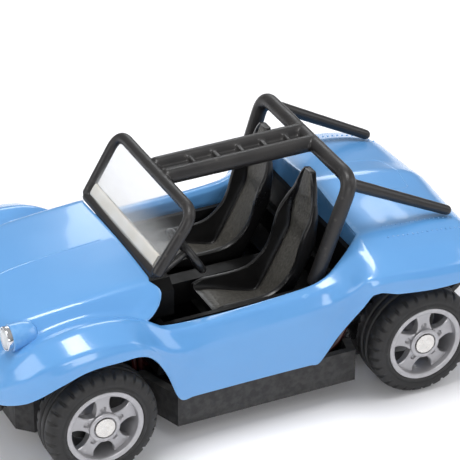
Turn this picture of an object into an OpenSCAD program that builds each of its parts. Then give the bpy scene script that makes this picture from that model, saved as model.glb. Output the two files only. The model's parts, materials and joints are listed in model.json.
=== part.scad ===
// Micro remote-control beach buggy.
// +X forward, +Y to the car's left, +Z up. The origin is on the ground, under the middle of the car's box.

/* [Overall] */
// Distance between the front and rear axles
wheelbase = 39.2; // [34:0.1:46]
// Width over the outer faces of the wheels
wheel_track = 32.8; // [30:0.1:40]
// Nose of the body, ahead of the front axle
front_overhang = 10.8; // [9:0.1:14]
// Tail of the body, behind the rear axle
rear_overhang = 9.9; // [8.5:0.1:13]
// Distance that the bumpers stand out past the nose and the tail
bumper_reach = 1.1; // [0.8:0.1:4]

/* [Wheels] */
// Outside diameter of each tyre
tyre_d = 13.0; // [11:0.1:14]
// Outside diameter of each wheel rim, at its lip
rim_d = 9.0; // [7:0.1:9.6]
// Width of a rear tyre
rear_tyre_w = 5.4; // [4:0.1:6]
// Width of a front tyre
front_tyre_w = 4.8; // [4:0.1:5.2]
// Number of spokes on each rim
spoke_count = 5; // [3:1:8]
// Number of tread blocks round a tyre's shoulder
tread_count = 30; // [12:1:40]

/* [Body] */
// Width over the wheel arch lips
body_w = 34.4; // [33:0.1:42]
// Wall of the body shell
shell_t = 0.65; // [0.5:0.05:0.8]
// Width across the bonnet's edges at the windscreen
bonnet_w = 19.6; // [17:0.1:21]
// Height of the bonnet at the windscreen
cowl_z = 19.8; // [18.5:0.1:22]
// Height of the bonnet over the front axle
bonnet_z = 19.2; // [18:0.1:20.5]
// Height of the side sills, where the occupants step over
sill_z = 14.4; // [13.5:0.1:15.5]
// Width between the sills' inner edges
cockpit_w = 24.2; // [22:0.1:25]
// Height of the front wings' crests
wing_z = 18.2; // [17.5:0.1:19]
// Height of the rear deck's middle, behind the seats
deck_z = 20.9; // [19.5:0.1:22]
// Height of the body's lower edge between the wheels
rocker_z = 6.2; // [5.5:0.1:7.5]
// Height of the wheel arch lips over the axles
arch_z = 14.8; // [14.3:0.1:15.5]

/* [Roll cage] */
// Diameter of the rear hoop's tube
hoop_d = 1.75; // [1.4:0.05:2.4]
// Diameter of the windscreen frame's tube
frame_d = 1.35; // [1.2:0.1:2]
// Diameter of the two roof bars
bar_d = 1.5; // [1.2:0.1:2]
// Diameter of the rear stays
stay_d = 1.3; // [1:0.1:1.8]
// Height of the cage's tube centres at the roof
roof_z = 26.8; // [24:0.1:30]
// Width between the windscreen posts' centres, at the top
frame_w = 20.0; // [17:0.1:22]
// Width between the hoop's outer corners
hoop_w = 22.0; // [19:0.1:23]
// Distance between the roof bars' centres
bar_gap = 3.35; // [2.6:0.05:5]
// Number of rungs between the roof bars
rung_count = 7; // [3:1:11]
// Thickness of the windscreen's glazing
glass_t = 0.5; // [0.4:0.1:0.8]

/* [Cockpit] */
// Height of the foot well's floor
footwell_z = 7.5; // [7.3:0.1:9]
// Height of the platform that carries the seats
seat_base_z = 9.9; // [9:0.1:10.5]
// Wall of the cockpit tub
tub_t = 0.6; // [0.5:0.05:0.8]
// Width of each bucket seat
seat_w = 7.0; // [5:0.1:7.4]
// Distance of each seat's middle from the car's middle
seat_y = 5.7; // [4.6:0.1:6]
// Wall of the seat shells
seat_t = 0.6; // [0.5:0.05:0.8]
// Outside diameter of the steering wheel
steering_d = 6.2; // [5:0.1:7]

/* [Chassis and drive] */
// Ground clearance under the chassis pan
ground_z = 2.0; // [1.5:0.1:2.5]
// Thickness of the chassis pan's floor
pan_t = 0.7; // [0.5:0.05:0.9]
// Thickness of the chassis pan's walls
pan_wall = 0.8; // [0.6:0.05:1]
// Diameter of the axles
axle_d = 1.5; // [1.2:0.05:1.8]
// Gap all round an axle in its running bore
axle_fit = 0.05; // [0.03:0.01:0.08]
// Outside diameter of the rear axle's brass bushes
bush_d = 2.8; // [2.4:0.1:3.4]
// Length of each brass bush
bush_l = 1.6; // [1.2:0.1:2]
// Diameter of the motor's can
motor_d = 6.0; // [5:0.1:6.2]
// Length of the motor's can
motor_l = 8.6; // [7:0.1:9]
// Diameter of the motor's shaft
motor_shaft_d = 0.8; // [0.6:0.05:1]
// Tooth module of every gear
gear_module = 0.3; // [0.26:0.01:0.32]
// Teeth on the rear axle's gear
axle_teeth = 22; // [18:1:24]
// Teeth on the idler's large gear
idler_teeth = 20; // [16:1:22]
// Teeth on the idler's small gear and on the motor's pinion
pinion_teeth = 9; // [8:1:10]
// Face width of the gears
gear_w = 1.4; // [1:0.1:1.6]

/* [Steering] */
// Distance of each kingpin from the car's middle
kingpin_y = 9.6; // [9.2:0.1:10]
// Diameter of the kingpins
kingpin_d = 1.0; // [0.8:0.05:1.1]
// Length of each steering arm, from kingpin to tie rod
steer_arm = 3.0; // [2.5:0.1:3.4]
// Diameter of the pins that the tie rod turns on
steer_pin_d = 0.9; // [0.7:0.05:1]
// Gap at the sides of those pins
steer_fit = 0.06; // [0.05:0.01:0.1]

/* [Electronics] */
// Length of the battery
battery_l = 15.0; // [12:0.1:16]
// Width of the battery
battery_w = 12.0; // [10:0.1:14]
// Thickness of the battery
battery_t = 3.2; // [2.5:0.1:3.6]
// Length of the receiver board
board_l = 10.4; // [9:0.1:10.6]
// Width of the receiver board
board_w = 13.0; // [10:0.1:13]
// Thickness of the receiver board
board_t = 0.6; // [0.5:0.1:0.8]
// Travel of the power switch
switch_travel = 1.5; // [1:0.1:1.8]
// Diameter of the wires
wire_d = 0.6; // [0.5:0.05:0.8]

/* [Fasteners] */
// Outside diameter of the body screws' thread
screw_d = 1.2; // [1:0.05:1.4]
// Diameter of the body screws' heads
screw_head_d = 2.2; // [1.8:0.1:2.6]

/* [Hidden] */
$fn = 48;
eps = 0.01;
LEFT = 1;
RIGHT = -1;

// Places along the car
axle_middle = 0.9;                                  // midway between the axles, ahead of the origin
front_x = axle_middle + wheelbase / 2;
rear_x = axle_middle - wheelbase / 2;
nose_x = front_x + front_overhang;
tail_x = rear_x - rear_overhang;
cowl_x = front_x - 8.4;                             // bonnet's rear edge
ear_skew = 2.0;                                     // how far the cowl's corners lean forward
hoop_x = rear_x + 6.9;                              // hoop's corners
deck_x = rear_x + 6.3;                              // rear deck's front edge
axle_z = tyre_d / 2;
wheel_y = wheel_track / 2;                          // outer face of the wheels
wheel_gap = 0.3;                                    // clearance beside and behind a turning wheel

// Chassis levels and widths
floor_z = ground_z + pan_t;
pan_wall_z = ground_z + 4.0;
pan_narrow = wheel_y - rear_tyre_w - 2.2;           // half width between the rear wheels
pan_nose = kingpin_y - 2.0;                         // half width between the front wheels
pan_wide = body_w / 2 - 3.9;                        // half width under the cockpit
pan_rear_x = rear_x - 6.8;
pan_front_x = front_x + 6.5;
pan_step_rear_x = rear_x + tyre_d / 2 + 0.8;
pan_step_front_x = front_x - tyre_d / 2 - 3.4;

// Gear train, from the axle forward to the motor
axle_gear_r = gear_module * axle_teeth / 2;
idler_r = gear_module * idler_teeth / 2;
pinion_r = gear_module * pinion_teeth / 2;
idler_angle = 35;
motor_angle = -30;
idler_x = rear_x + (axle_gear_r + pinion_r) * cos(idler_angle);
idler_z = axle_z + (axle_gear_r + pinion_r) * sin(idler_angle);
motor_x = idler_x + (idler_r + pinion_r) * cos(motor_angle);
motor_z = idler_z + (idler_r + pinion_r) * sin(motor_angle);
gear_gap = 0.2;                                     // between neighbouring gears and plates
motor_face_y = 1.5;                                 // front face of the motor's can
large_gear_y = motor_face_y - 0.9 - gear_w;         // idler's large gear starts here
small_gear_y = large_gear_y - gear_gap - gear_w;    // axle gear starts here
idler_pin_d = 1.0;
case_t = 0.6;                                       // gearbox side plates
case_inner_y = small_gear_y - gear_gap;             // inside of the right plate
case_outer_y = large_gear_y + gear_w + gear_gap;    // inside of the left plate

// Steering places
rod_x = front_x - steer_arm;
servo_x = rod_x - steer_arm;
rod_z = axle_z + 2.1;
rod_t = 0.8;
knuckle_low_z = ground_z + 2.4;
knuckle_high_z = axle_z + 2.9;
beam_z = knuckle_high_z + 0.2;
beam_t = 1.0;

// ---------- curves ----------
// Index of the table row that x lies after
function row_at(t, x, i = 0) = (i >= len(t) - 2 || x <= t[i + 1][0]) ? i : row_at(t, x, i + 1);
// Slope of the smooth curve at row i
function row_slope(t, i) =
    i <= 0 ? (t[1][1] - t[0][1]) / (t[1][0] - t[0][0])
    : i >= len(t) - 1 ? (t[i][1] - t[i - 1][1]) / (t[i][0] - t[i - 1][0])
    : (t[i + 1][1] - t[i - 1][1]) / (t[i + 1][0] - t[i - 1][0]);
// Smooth curve through the rows [x, value] of a table
function curve(t, x) = let (
        i = row_at(t, x),
        h = t[i + 1][0] - t[i][0],
        s = max(0, min(1, (x - t[i][0]) / h)),
        s2 = s * s,
        s3 = s2 * s)
    t[i][1] * (2 * s3 - 3 * s2 + 1) + t[i + 1][1] * (3 * s2 - 2 * s3)
    + h * (row_slope(t, i) * (s3 - 2 * s2 + s) + row_slope(t, i + 1) * (s3 - s2));
function smooth(a, b, x) = let (s = max(0, min(1, (x - a) / (b - a)))) s * s * (3 - 2 * s);
function mix(a, b, t) = a * (1 - t) + b * t;
function unit(v) = v / norm(v);

// ---------- body surface ----------
half_w = body_w / 2;
bonnet_y = bonnet_w / 2;
sill_y = cockpit_w / 2;

// Each table runs from tail to nose. Rows are [place along the car, size].
crown_z = [
    [tail_x, deck_z - 8.4], [tail_x + 0.8, deck_z - 4.8], [tail_x + 2.4, deck_z - 2.6], [rear_x - 4.5, deck_z - 1.3],
    [rear_x, deck_z - 0.4], [deck_x, deck_z], [cowl_x, cowl_z], [front_x, bonnet_z], [front_x + 4, bonnet_z - 0.5],
    [front_x + 6.8, bonnet_z - 1.3], [nose_x - 2.0, bonnet_z - 2.6], [nose_x - 0.7, bonnet_z - 5.0], [nose_x, bonnet_z - 7.8]];
flat_y = [[tail_x, 3.4], [deck_x, 4.4], [cowl_x, 4.8], [nose_x, 4.4]];
flat_drop = [[tail_x, 0.2], [tail_x + 3, 0.5], [deck_x, 0.6], [cowl_x, 0.1], [nose_x, 0.15]];
edge_y = [
    [tail_x, sill_y - 2.6], [rear_x - 6, sill_y - 1.7], [deck_x, sill_y - 1.0], [rear_x + 9.5, sill_y - 0.4],
    [rear_x + 12.5, sill_y], [cowl_x - 8, sill_y], [cowl_x - 4.2, sill_y + 0.4], [cowl_x - 3.0, sill_y + 0.65],
    [cowl_x - 2.4, sill_y + 0.2], [cowl_x - 1.8, sill_y - 0.6], [cowl_x - 1.2, bonnet_y + 1.0],
    [cowl_x - 0.6, bonnet_y + 0.45], [cowl_x, bonnet_y], [front_x, bonnet_y - 0.2], [front_x + 5.5, bonnet_y - 0.7],
    [nose_x - 2, bonnet_y - 1.6], [nose_x, bonnet_y - 2.8]];
edge_z = [
    [tail_x, deck_z - 8.6], [tail_x + 0.8, deck_z - 5.6], [tail_x + 2.4, deck_z - 3.4], [rear_x - 4.5, deck_z - 2.2],
    [rear_x, deck_z - 1.6], [deck_x, deck_z - 1.4], [rear_x + 8.4, sill_z + 3.2], [rear_x + 10.5, sill_z + 1.4],
    [rear_x + 13.0, sill_z + 0.5], [cowl_x - 8, sill_z + 0.2], [cowl_x - 4.2, sill_z + 0.8],
    [cowl_x - 3.0, sill_z + 1.9], [cowl_x - 2.4, sill_z + 2.4], [cowl_x - 1.8, sill_z + 3.1], [cowl_x - 1.2, cowl_z - 1.3],
    [cowl_x - 0.6, cowl_z - 0.7], [cowl_x, cowl_z - 0.4], [front_x, bonnet_z - 0.4],
    [front_x + 4.5, bonnet_z - 1.0], [front_x + 7.5, bonnet_z - 2.0], [nose_x - 2, bonnet_z - 3.6],
    [nose_x - 0.7, bonnet_z - 6.0], [nose_x, bonnet_z - 8.2]];
valley_y = [
    [tail_x, sill_y - 1.4], [rear_x - 6, sill_y + 0.1], [rear_x, sill_y + 0.6], [deck_x, sill_y + 0.4],
    [rear_x + 11, sill_y + 0.4], [cowl_x - 2, sill_y + 0.5], [cowl_x + 1.8, sill_y + 0.7], [cowl_x + 3.4, sill_y - 0.2],
    [front_x - 3.5, sill_y - 0.5], [front_x, sill_y - 1.0], [front_x + 5.5, sill_y - 1.5], [nose_x - 2, sill_y - 3.0],
    [nose_x, sill_y - 4.4]];
valley_z = [
    [tail_x, deck_z - 8.9], [tail_x + 1.6, deck_z - 5.2], [tail_x + 3.2, deck_z - 3.4], [rear_x, deck_z - 2.2],
    [deck_x, deck_z - 2.0], [rear_x + 9.3, sill_z + 2.6], [rear_x + 11.5, sill_z + 1.5], [rear_x + 14, sill_z + 1.0],
    [cowl_x - 5, sill_z + 0.4], [cowl_x - 0.6, sill_z + 0.6], [cowl_x + 1.9, sill_z + 2.1], [cowl_x + 3.4, wing_z - 1.4],
    [front_x - 3.5, wing_z - 1.1], [front_x, wing_z - 0.8], [front_x + 5, wing_z - 1.7], [nose_x - 2.6, wing_z - 3.4],
    [nose_x - 0.7, wing_z - 6], [nose_x, wing_z - 7.6]];
crest_y = [
    [tail_x, sill_y - 0.4], [rear_x - 6, sill_y + 2.0], [rear_x, sill_y + 2.4], [deck_x, sill_y + 2.3],
    [rear_x + 12, sill_y + 1.6], [cowl_x - 2, sill_y + 1.4], [cowl_x + 2, sill_y + 1.2], [cowl_x + 4.5, sill_y + 1.4],
    [front_x + 4, sill_y + 1.4], [nose_x - 2, sill_y - 0.2], [nose_x, sill_y - 2.6]];
crest_z = [
    [tail_x, deck_z - 9.0], [tail_x + 1.8, deck_z - 5.6], [tail_x + 3.6, deck_z - 3.9], [rear_x, deck_z - 2.8],
    [deck_x, deck_z - 2.7], [rear_x + 9.5, sill_z + 1.6], [rear_x + 12.5, sill_z + 0.8], [cowl_x - 5, sill_z + 0.4],
    [cowl_x - 0.6, sill_z + 0.5], [cowl_x + 1.9, sill_z + 2.1], [cowl_x + 4.6, wing_z - 0.4], [front_x, wing_z],
    [front_x + 3, wing_z - 0.2], [front_x + 6.5, wing_z - 1.6], [nose_x - 2.2, wing_z - 3.8], [nose_x - 0.6, wing_z - 6.4],
    [nose_x, wing_z - 7.8]];
brow_y = [
    [tail_x, half_w - 5.4], [tail_x + 1.6, half_w - 2.6], [rear_x - 5, half_w - 0.9], [rear_x, half_w - 0.5],
    [rear_x + 7.8, half_w - 0.7], [rear_x + 9.6, half_w - 1.6], [rear_x + 12, half_w - 2.6], [cowl_x - 3, half_w - 2.7],
    [cowl_x + 1.6, half_w - 1.7], [front_x - 3.5, half_w - 0.9], [front_x + 4, half_w - 0.9],
    [nose_x - 3, half_w - 2.6], [nose_x - 1, half_w - 4.8], [nose_x, half_w - 6.8]];
brow_z = [
    [tail_x, arch_z - 2.6], [tail_x + 1.6, arch_z - 0.2], [rear_x - 5, arch_z + 1.4], [rear_x, arch_z + 1.9],
    [rear_x + 7.6, arch_z + 2.3], [rear_x + 9.6, sill_z + 0.6], [rear_x + 12, sill_z - 1.0], [cowl_x - 4, sill_z - 2.4],
    [cowl_x, sill_z - 1.2], [cowl_x + 2.6, sill_z + 0.8], [front_x - 3, arch_z + 2.0], [front_x + 2, arch_z + 2.1],
    [front_x + 6, arch_z + 0.8], [nose_x - 2, arch_z - 1.6], [nose_x, arch_z - 4.0]];
skirt_y = [
    [tail_x, half_w - 5.2], [tail_x + 1.6, half_w - 2.2], [rear_x - 5, half_w - 0.4], [rear_x, half_w - 0.05],
    [rear_x + 7.2, half_w - 0.15], [rear_x + 8.4, half_w - 0.9], [rear_x + 10.4, half_w - 2.45], [rear_x + 12.4, half_w - 2.6],
    [cowl_x - 3, half_w - 2.5], [cowl_x + 1.2, half_w - 1.7], [front_x - 4, half_w - 0.5], [front_x + 4, half_w - 0.4],
    [nose_x - 3, half_w - 2.2], [nose_x - 1, half_w - 4.6], [nose_x, half_w - 6.6]];
skirt_z = [
    [tail_x, arch_z - 3.2], [tail_x + 1.6, arch_z - 1.4], [rear_x - 5, arch_z + 0.4], [rear_x, arch_z + 0.9],
    [rear_x + 7.2, arch_z + 1.5], [rear_x + 8.4, arch_z - 0.4], [rear_x + 10.2, rocker_z + 6.0], [rear_x + 12.6, rocker_z + 3.8],
    [cowl_x - 3, rocker_z + 3.6], [cowl_x + 0.6, rocker_z + 6.4], [cowl_x + 2.8, arch_z + 0.0], [front_x - 3, arch_z + 1.1],
    [front_x + 2, arch_z + 1.1], [front_x + 6, arch_z - 0.6], [nose_x - 2, arch_z - 3.0], [nose_x, arch_z - 4.8]];
lip_y = [
    [tail_x, half_w - 5.4], [tail_x + 1.6, half_w - 2.4], [rear_x - 5, half_w - 0.3], [rear_x, half_w],
    [rear_x + 7.4, half_w - 0.3], [rear_x + 8.6, half_w - 1.3], [rear_x + 10.2, half_w - 2.4], [rear_x + 12.2, half_w - 2.9],
    [cowl_x - 3, half_w - 2.9], [cowl_x + 0.6, half_w - 2.2], [front_x - 4, half_w - 0.4], [front_x + 4, half_w - 0.2],
    [nose_x - 3, half_w - 2.2], [nose_x - 1, half_w - 4.8], [nose_x, half_w - 6.8]];
lip_z = [
    [tail_x, arch_z - 4.2], [tail_x + 1.6, arch_z - 2.8], [rear_x - 5.5, arch_z - 0.9], [rear_x, arch_z - 0.6],
    [rear_x + 4, arch_z - 0.1], [rear_x + 7.2, arch_z + 0.4], [rear_x + 8.4, arch_z - 1.9], [rear_x + 10.1, rocker_z + 3.6],
    [rear_x + 12.3, rocker_z + 0.1], [rear_x + 13.5, rocker_z], [cowl_x - 3, rocker_z], [cowl_x - 1.2, rocker_z + 0.3],
    [cowl_x + 0.5, rocker_z + 4.2], [cowl_x + 2.2, arch_z - 1.6], [cowl_x + 4, arch_z - 0.1], [front_x - 2, arch_z + 0.2],
    [front_x + 2, arch_z + 0.1], [front_x + 5, arch_z - 1.2], [front_x + 7.5, arch_z - 3.2], [nose_x - 1.2, arch_z - 4.8],
    [nose_x, arch_z - 5.4]];

// How far each line of key points stands ahead of its station, round the cockpit's front corners
edge_shift = [
    [cowl_x - 13.5, 0], [cowl_x - 11, 0.7], [cowl_x - 8, 2.0], [cowl_x - 6, 3.2], [cowl_x - 4.2, 4.3], [cowl_x - 3.6, 4.6],
    [cowl_x - 3.0, 4.75], [cowl_x - 2.4, 3.1], [cowl_x - 1.8, 1.4], [cowl_x - 1.2, 0.25], [cowl_x - 0.6, -0.05], [cowl_x, 0]];
wall_shift = [
    [cowl_x - 13.5, 0], [cowl_x - 11, 0.7], [cowl_x - 8, 2.0], [cowl_x - 6, 3.2], [cowl_x - 4.2, 4.4], [cowl_x - 3, 5.0],
    [cowl_x, 3.4], [cowl_x + 2, 2.6], [cowl_x + 6, 0.6], [front_x + 1, 0]];
function shift(t, s) = s <= t[0][0] || s >= t[len(t) - 1][0] ? 0 : curve(t, s);

sill_flange = 2.8;                                  // depth of the cockpit opening's inner flange
function in_cockpit(s) = s > deck_x + 0.05 && s < cowl_x - 0.05;

// Key points [ahead of the station, y, z] of the left half of the section at station s, from the middle outward
function keys(s) = let (f = shift(edge_shift, s), w = shift(wall_shift, s), e = s + w) [
    [0, 0, curve(crown_z, s)],
    in_cockpit(s) ? [f, curve(edge_y, s) - 0.15, curve(edge_z, s) - sill_flange]
        : [0, curve(flat_y, s), curve(crown_z, s) - curve(flat_drop, s)],
    [f, curve(edge_y, s), curve(edge_z, s)],
    [w, curve(valley_y, e), curve(valley_z, e)],
    [w, curve(crest_y, e), curve(crest_z, e)],
    [w * 0.8, curve(brow_y, s + w * 0.8), curve(brow_z, s + w * 0.8)],
    [w * 0.5, curve(skirt_y, s + w * 0.5), curve(skirt_z, s + w * 0.5)],
    [w * 0.3, curve(lip_y, s + w * 0.3), curve(lip_z, s + w * 0.3)]];

// Unit normal that points into the body, from the direction of travel
function inward(a, b) = let (d = unit([b[1] - a[1], b[2] - a[2]])) [0, d[1], -d[0]];
// The same key points moved into the body by t
function inset(k, t) = [for (i = [0:len(k) - 1]) let (
        before = i == 0 ? [0, 0, -1] : inward(k[i - 1], k[i]),
        after = i == len(k) - 1 ? before : inward(k[i], k[i + 1]),
        both = before + after)
    k[i] + t * both / max(0.6, 1 + before * after)];

// Share of each neighbouring edge that a key point's corner is rounded over
corner_share = [0, 0.3, 0.2, 0.3, 0.26, 0.24, 0.26, 0];
corner_steps = 3;
// A section's outline: straight runs, with each corner a quadratic curve
function outline(k) = [
    k[0],
    for (i = [1:len(k) - 2]) let (
            r = corner_share[i],
            a = mix(k[i], k[i - 1], r),
            b = mix(k[i], k[i + 1], r))
        for (j = [0:corner_steps - 1]) let (t = j / (corner_steps - 1))
            a * (1 - t) * (1 - t) + 2 * k[i] * t * (1 - t) + b * t * t,
    k[len(k) - 1]];
outline_n = 2 + 6 * corner_steps;
flange_column = 1 + corner_steps;                   // the outline's point at the flange's lower edge
edge_column = flange_column + floor(corner_steps / 2);  // and at the bonnet's edge

// Stations along the car, closer together where the shape turns quickly
function spread(a, b, n) = [for (i = [0:n - 1]) mix(a, b, i / n)];
stations = concat(
    spread(tail_x, tail_x + 2.4, 4), spread(tail_x + 2.4, deck_x, 7), spread(deck_x, rear_x + 13.5, 8),
    spread(rear_x + 13.5, cowl_x - 4.2, 5), spread(cowl_x - 4.2, cowl_x, 7), spread(cowl_x, front_x + 2, 8),
    spread(front_x + 2, nose_x - 2.4, 5), spread(nose_x - 2.4, nose_x, 4), [nose_x]);
deck_row = 11;
corner_row = 25;                                    // the flange stops at the cockpit's front corners
cowl_row = 31;

function shell_row(s, t) = let (
        o = outline(t == 0 ? keys(s) : inset(keys(s), t)),
        x0 = s - t * smooth(nose_x - 3.5, nose_x - 0.5, s) + t * (1 - smooth(tail_x + 0.5, tail_x + 3.5, s)))
    [for (c = [-(outline_n - 1):outline_n - 1]) let (q = o[abs(c)]) [x0 + q[0], sign(c) * q[1], q[2]]];
columns = 2 * outline_n - 1;
// The cockpit's opening is left out of the surface
function opening(r, c, column) = c >= outline_n - 1 - column && c < outline_n - 1 + column;
function kept(r, c) = !(r >= deck_row && r < cowl_row
    && opening(r, c, r > deck_row && r < corner_row ? flange_column - 1 : edge_column));

// A closed shell between the outer surface and the surface t inside it
module body_surface(t) {
    rows = len(stations);
    outer = [for (s = stations) each shell_row(s, 0)];
    inner = [for (s = stations) each shell_row(s, t)];
    n = rows * columns;
    function at(r, c) = r * columns + c;
    cells = [for (r = [0:rows - 2]) for (c = [0:columns - 2]) if (kept(r, c)) [r, c]];
    function open(r, c) = r < 0 || c < 0 || r > rows - 2 || c > columns - 2 || !kept(r, c);
    faces = [for (q = cells) let (
            r = q[0], c = q[1],
            p = at(r, c), px = at(r + 1, c), py = at(r, c + 1), pxy = at(r + 1, c + 1))
        each concat(
            [[p, py, pxy], [p, pxy, px]],
            [[n + p, n + pxy, n + py], [n + p, n + px, n + pxy]],
            open(r - 1, c) ? [[p, n + p, n + py], [p, n + py, py]] : [],
            open(r + 1, c) ? [[px, pxy, n + pxy], [px, n + pxy, n + px]] : [],
            open(r, c - 1) ? [[p, px, n + px], [p, n + px, n + p]] : [],
            open(r, c + 1) ? [[py, n + py, n + pxy], [py, n + pxy, pxy]] : [])];
    polyhedron(concat(outer, inner), faces, convexity = 10);
}
// Height of the body's inner surface at station s and distance y from the middle
function under_body(s, y) = let (o = outline(inset(keys(s), shell_t)))
    lookup(abs(y), [for (i = [0:edge_column + 1]) [o[i][1], o[i][2]]]);

bulkhead_t = 0.7;
bulkhead_low_z = idler_z + idler_r + gear_module + 0.6;
front_post_x = front_x + 4.2;
rear_post_x = rear_x - 4.6;
post_d = 2.2;

module bulkhead() {
    n = 12;
    reach = sill_y - 1.2;
    for (i = [0:n - 1]) hull() for (j = [0, 1]) {
        y = mix(-reach, reach, (i + j) / n);
        top = under_body(deck_x, y) + shell_t / 2;
        translate([deck_x - bulkhead_t - 0.1, y - 0.05, bulkhead_low_z])
            cube([bulkhead_t, 0.1, top - bulkhead_low_z]);
    }
}
module body_shell() color("cornflowerblue") difference() {
    union() {
        body_surface(shell_t);
        bulkhead();
        for (x = [front_post_x, rear_post_x])
            translate([x, 0, floor_z + 0.1]) cylinder(d = post_d, h = under_body(x, 0) + shell_t / 2 - floor_z - 0.1, $fn = 24);
        // Pods behind the headlights
        for (side = [LEFT, RIGHT]) translate(flip(lamp_at, side)) rotate([0, 90, 0])
            translate([0, 0, -3.4]) cylinder(r = lamp_r + 0.1, h = 2.8, $fn = 32);
    }
    for (side = [LEFT, RIGHT]) translate(flip(lamp_at, side)) rotate([0, 90, 0])
        translate([0, 0, -3.0]) cylinder(r = 0.95, h = 4, $fn = 24);
    for (side = [LEFT, RIGHT]) translate(flip(lamp_at, side)) rotate([0, 90, 0])
        translate([0, 0, -0.6]) cylinder(r = lamp_r + 0.05, h = 1.6, $fn = 32);
    for (side = [LEFT, RIGHT]) translate(flip(tail_lamp_at, side)) rotate([0, 90, 0])
        cylinder(r = tail_lamp_r + 0.03, h = 3, center = true, $fn = 32);
    for (x = [front_post_x, rear_post_x])
        translate([x, 0, floor_z]) cylinder(d = screw_d - 0.1, h = 6, $fn = 24);
}

// ---------- tubes ----------
// Corner points rounded into arcs of radius r, with the ends left as they are
function bend(p, r, n = 5) = [
    p[0],
    for (i = [1:len(p) - 2]) let (
            u = unit(p[i - 1] - p[i]),
            v = unit(p[i + 1] - p[i]),
            half = acos(max(-1, min(1, u * v))) / 2,
            reach = min(r / tan(half), 0.48 * norm(p[i - 1] - p[i]), 0.48 * norm(p[i + 1] - p[i])),
            a = p[i] + u * reach,
            b = p[i] + v * reach)
        for (j = [0:n]) let (t = j / n) a * (1 - t) * (1 - t) + 2 * p[i] * t * (1 - t) + b * t * t,
    p[len(p) - 1]];
function tangent(p, i) = unit(p[min(len(p) - 1, i + 1)] - p[max(0, i - 1)]);
// Frames carried along a path without twisting
function carry(p, i, side) = let (
        t = tangent(p, i),
        s = unit(side - t * (side * t)))
    i == len(p) - 1 ? [s] : concat([s], carry(p, i + 1, s));
// A tube of diameter d0 to d1 swept along a path
module tube(p, d0, d1, sides = 12, side = [0.1, 1, 0.2]) {
    n = len(p);
    frames = carry(p, 0, side);
    points = [for (i = [0:n - 1]) let (t = tangent(p, i), s = frames[i], w = cross(t, s), r = mix(d0, d1, i / (n - 1)) / 2)
        for (k = [0:sides - 1]) p[i] + r * (cos(360 * k / sides) * s + sin(360 * k / sides) * w)];
    faces = concat(
        [[for (k = [0:sides - 1]) k]],
        [for (i = [0:n - 2]) for (k = [0:sides - 1]) let (m = (k + 1) % sides)
            [i * sides + k, (i + 1) * sides + k, (i + 1) * sides + m, i * sides + m]],
        [[for (k = [sides - 1:-1:0]) (n - 1) * sides + k]]);
    polyhedron(points, faces, convexity = 6);
}
function mirrored(p) = [for (q = p) [q[0], -q[1], q[2]]];

// ---------- roll cage ----------
frame_top = [cowl_x - 5.1, frame_w / 2, roof_z - 0.2];
frame_foot = [cowl_x - 0.72, frame_w / 2 - 0.4, cowl_z - 0.05];
hoop_corner = [hoop_x + 0.2, hoop_w / 2, roof_z - 0.1];
hoop_foot = [hoop_x + 4.5, hoop_w / 2 - 0.4, sill_z - 0.2];
bar_rear = [hoop_x, bar_gap / 2, roof_z + 0.1];
bar_front = [frame_top[0] - 0.3, bar_gap / 2, roof_z];
stay_end = [rear_x - 6.2, hoop_w / 2 - 1.2, deck_z - 2.0];
cage_bend = 2.0;
function flip(v, side) = [v[0], side * v[1], v[2]];

module roll_cage() color("dimgray") union() {
    tube(bend([frame_foot, frame_top, flip(frame_top, RIGHT), flip(frame_foot, RIGHT)], cage_bend), frame_d, frame_d);
    tube([frame_foot + [0.1, 0, 0], flip(frame_foot, RIGHT) + [0.1, 0, 0]], frame_d * 0.8, frame_d * 0.8);
    for (side = [LEFT, RIGHT]) {
        tube(bend([flip(bar_front, side), flip(bar_rear, side), flip(hoop_corner, side), flip(hoop_foot, side)], cage_bend),
            bar_d, hoop_d);
        tube([flip(hoop_corner + [0.4, -0.5, -0.5], side), flip(stay_end, side)], stay_d * 1.1, stay_d * 0.9);
    }
    // The bars' rungs and the cross piece between the hoop's halves
    for (i = [0:rung_count]) let (t = i / rung_count, c = mix(bar_front, bar_rear, mix(0.08, 0.98, t))) hull()
        for (side = [LEFT, RIGHT]) translate([c[0], side * (bar_gap / 2 - bar_d / 4), c[2] - 0.1])
            cube([i == rung_count ? 1.4 : 0.5, 0.4, bar_d * 0.5], center = true);
    // The web under the rungs
    hull() for (c = [bar_front, bar_rear]) translate([c[0], 0, c[2] - bar_d * 0.25])
        cube([0.4, bar_gap - bar_d * 0.6, 0.5], center = true);
}

glass_inset = frame_d / 2 - 0.3;
module windscreen() color("lightcyan", 0.4) {
    a = [frame_foot[0], frame_foot[2]];
    b = [frame_top[0], frame_top[2]];
    along = unit(b - a);
    across = [along[1], -along[0]] * glass_t / 2;
    low = a + along * glass_inset;
    high = b - along * glass_inset;
    w = frame_w / 2 - frame_d / 2 + 0.15;
    // A trapezium of sheet in the frame's plane, drawn from the side and cut to the frame's taper
    intersection() {
        rotate([90, 0, 0]) linear_extrude(frame_w, center = true)
            polygon([low + across, high + across, high - across, low - across]);
        multmatrix([[1, 0, 0, 0], [0, 1, 0, 0], [0, 0, 1, 0]])
            rotate([90, 0, 90]) linear_extrude(3 * wheelbase, center = true)
                polygon([[-w + 0.5, frame_foot[2] - 1], [w - 0.5, frame_foot[2] - 1], [w, frame_top[2] - cage_bend],
                    [w - 1.6, frame_top[2]], [-w + 1.6, frame_top[2]], [-w, frame_top[2] - cage_bend]]);
    }
}

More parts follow.
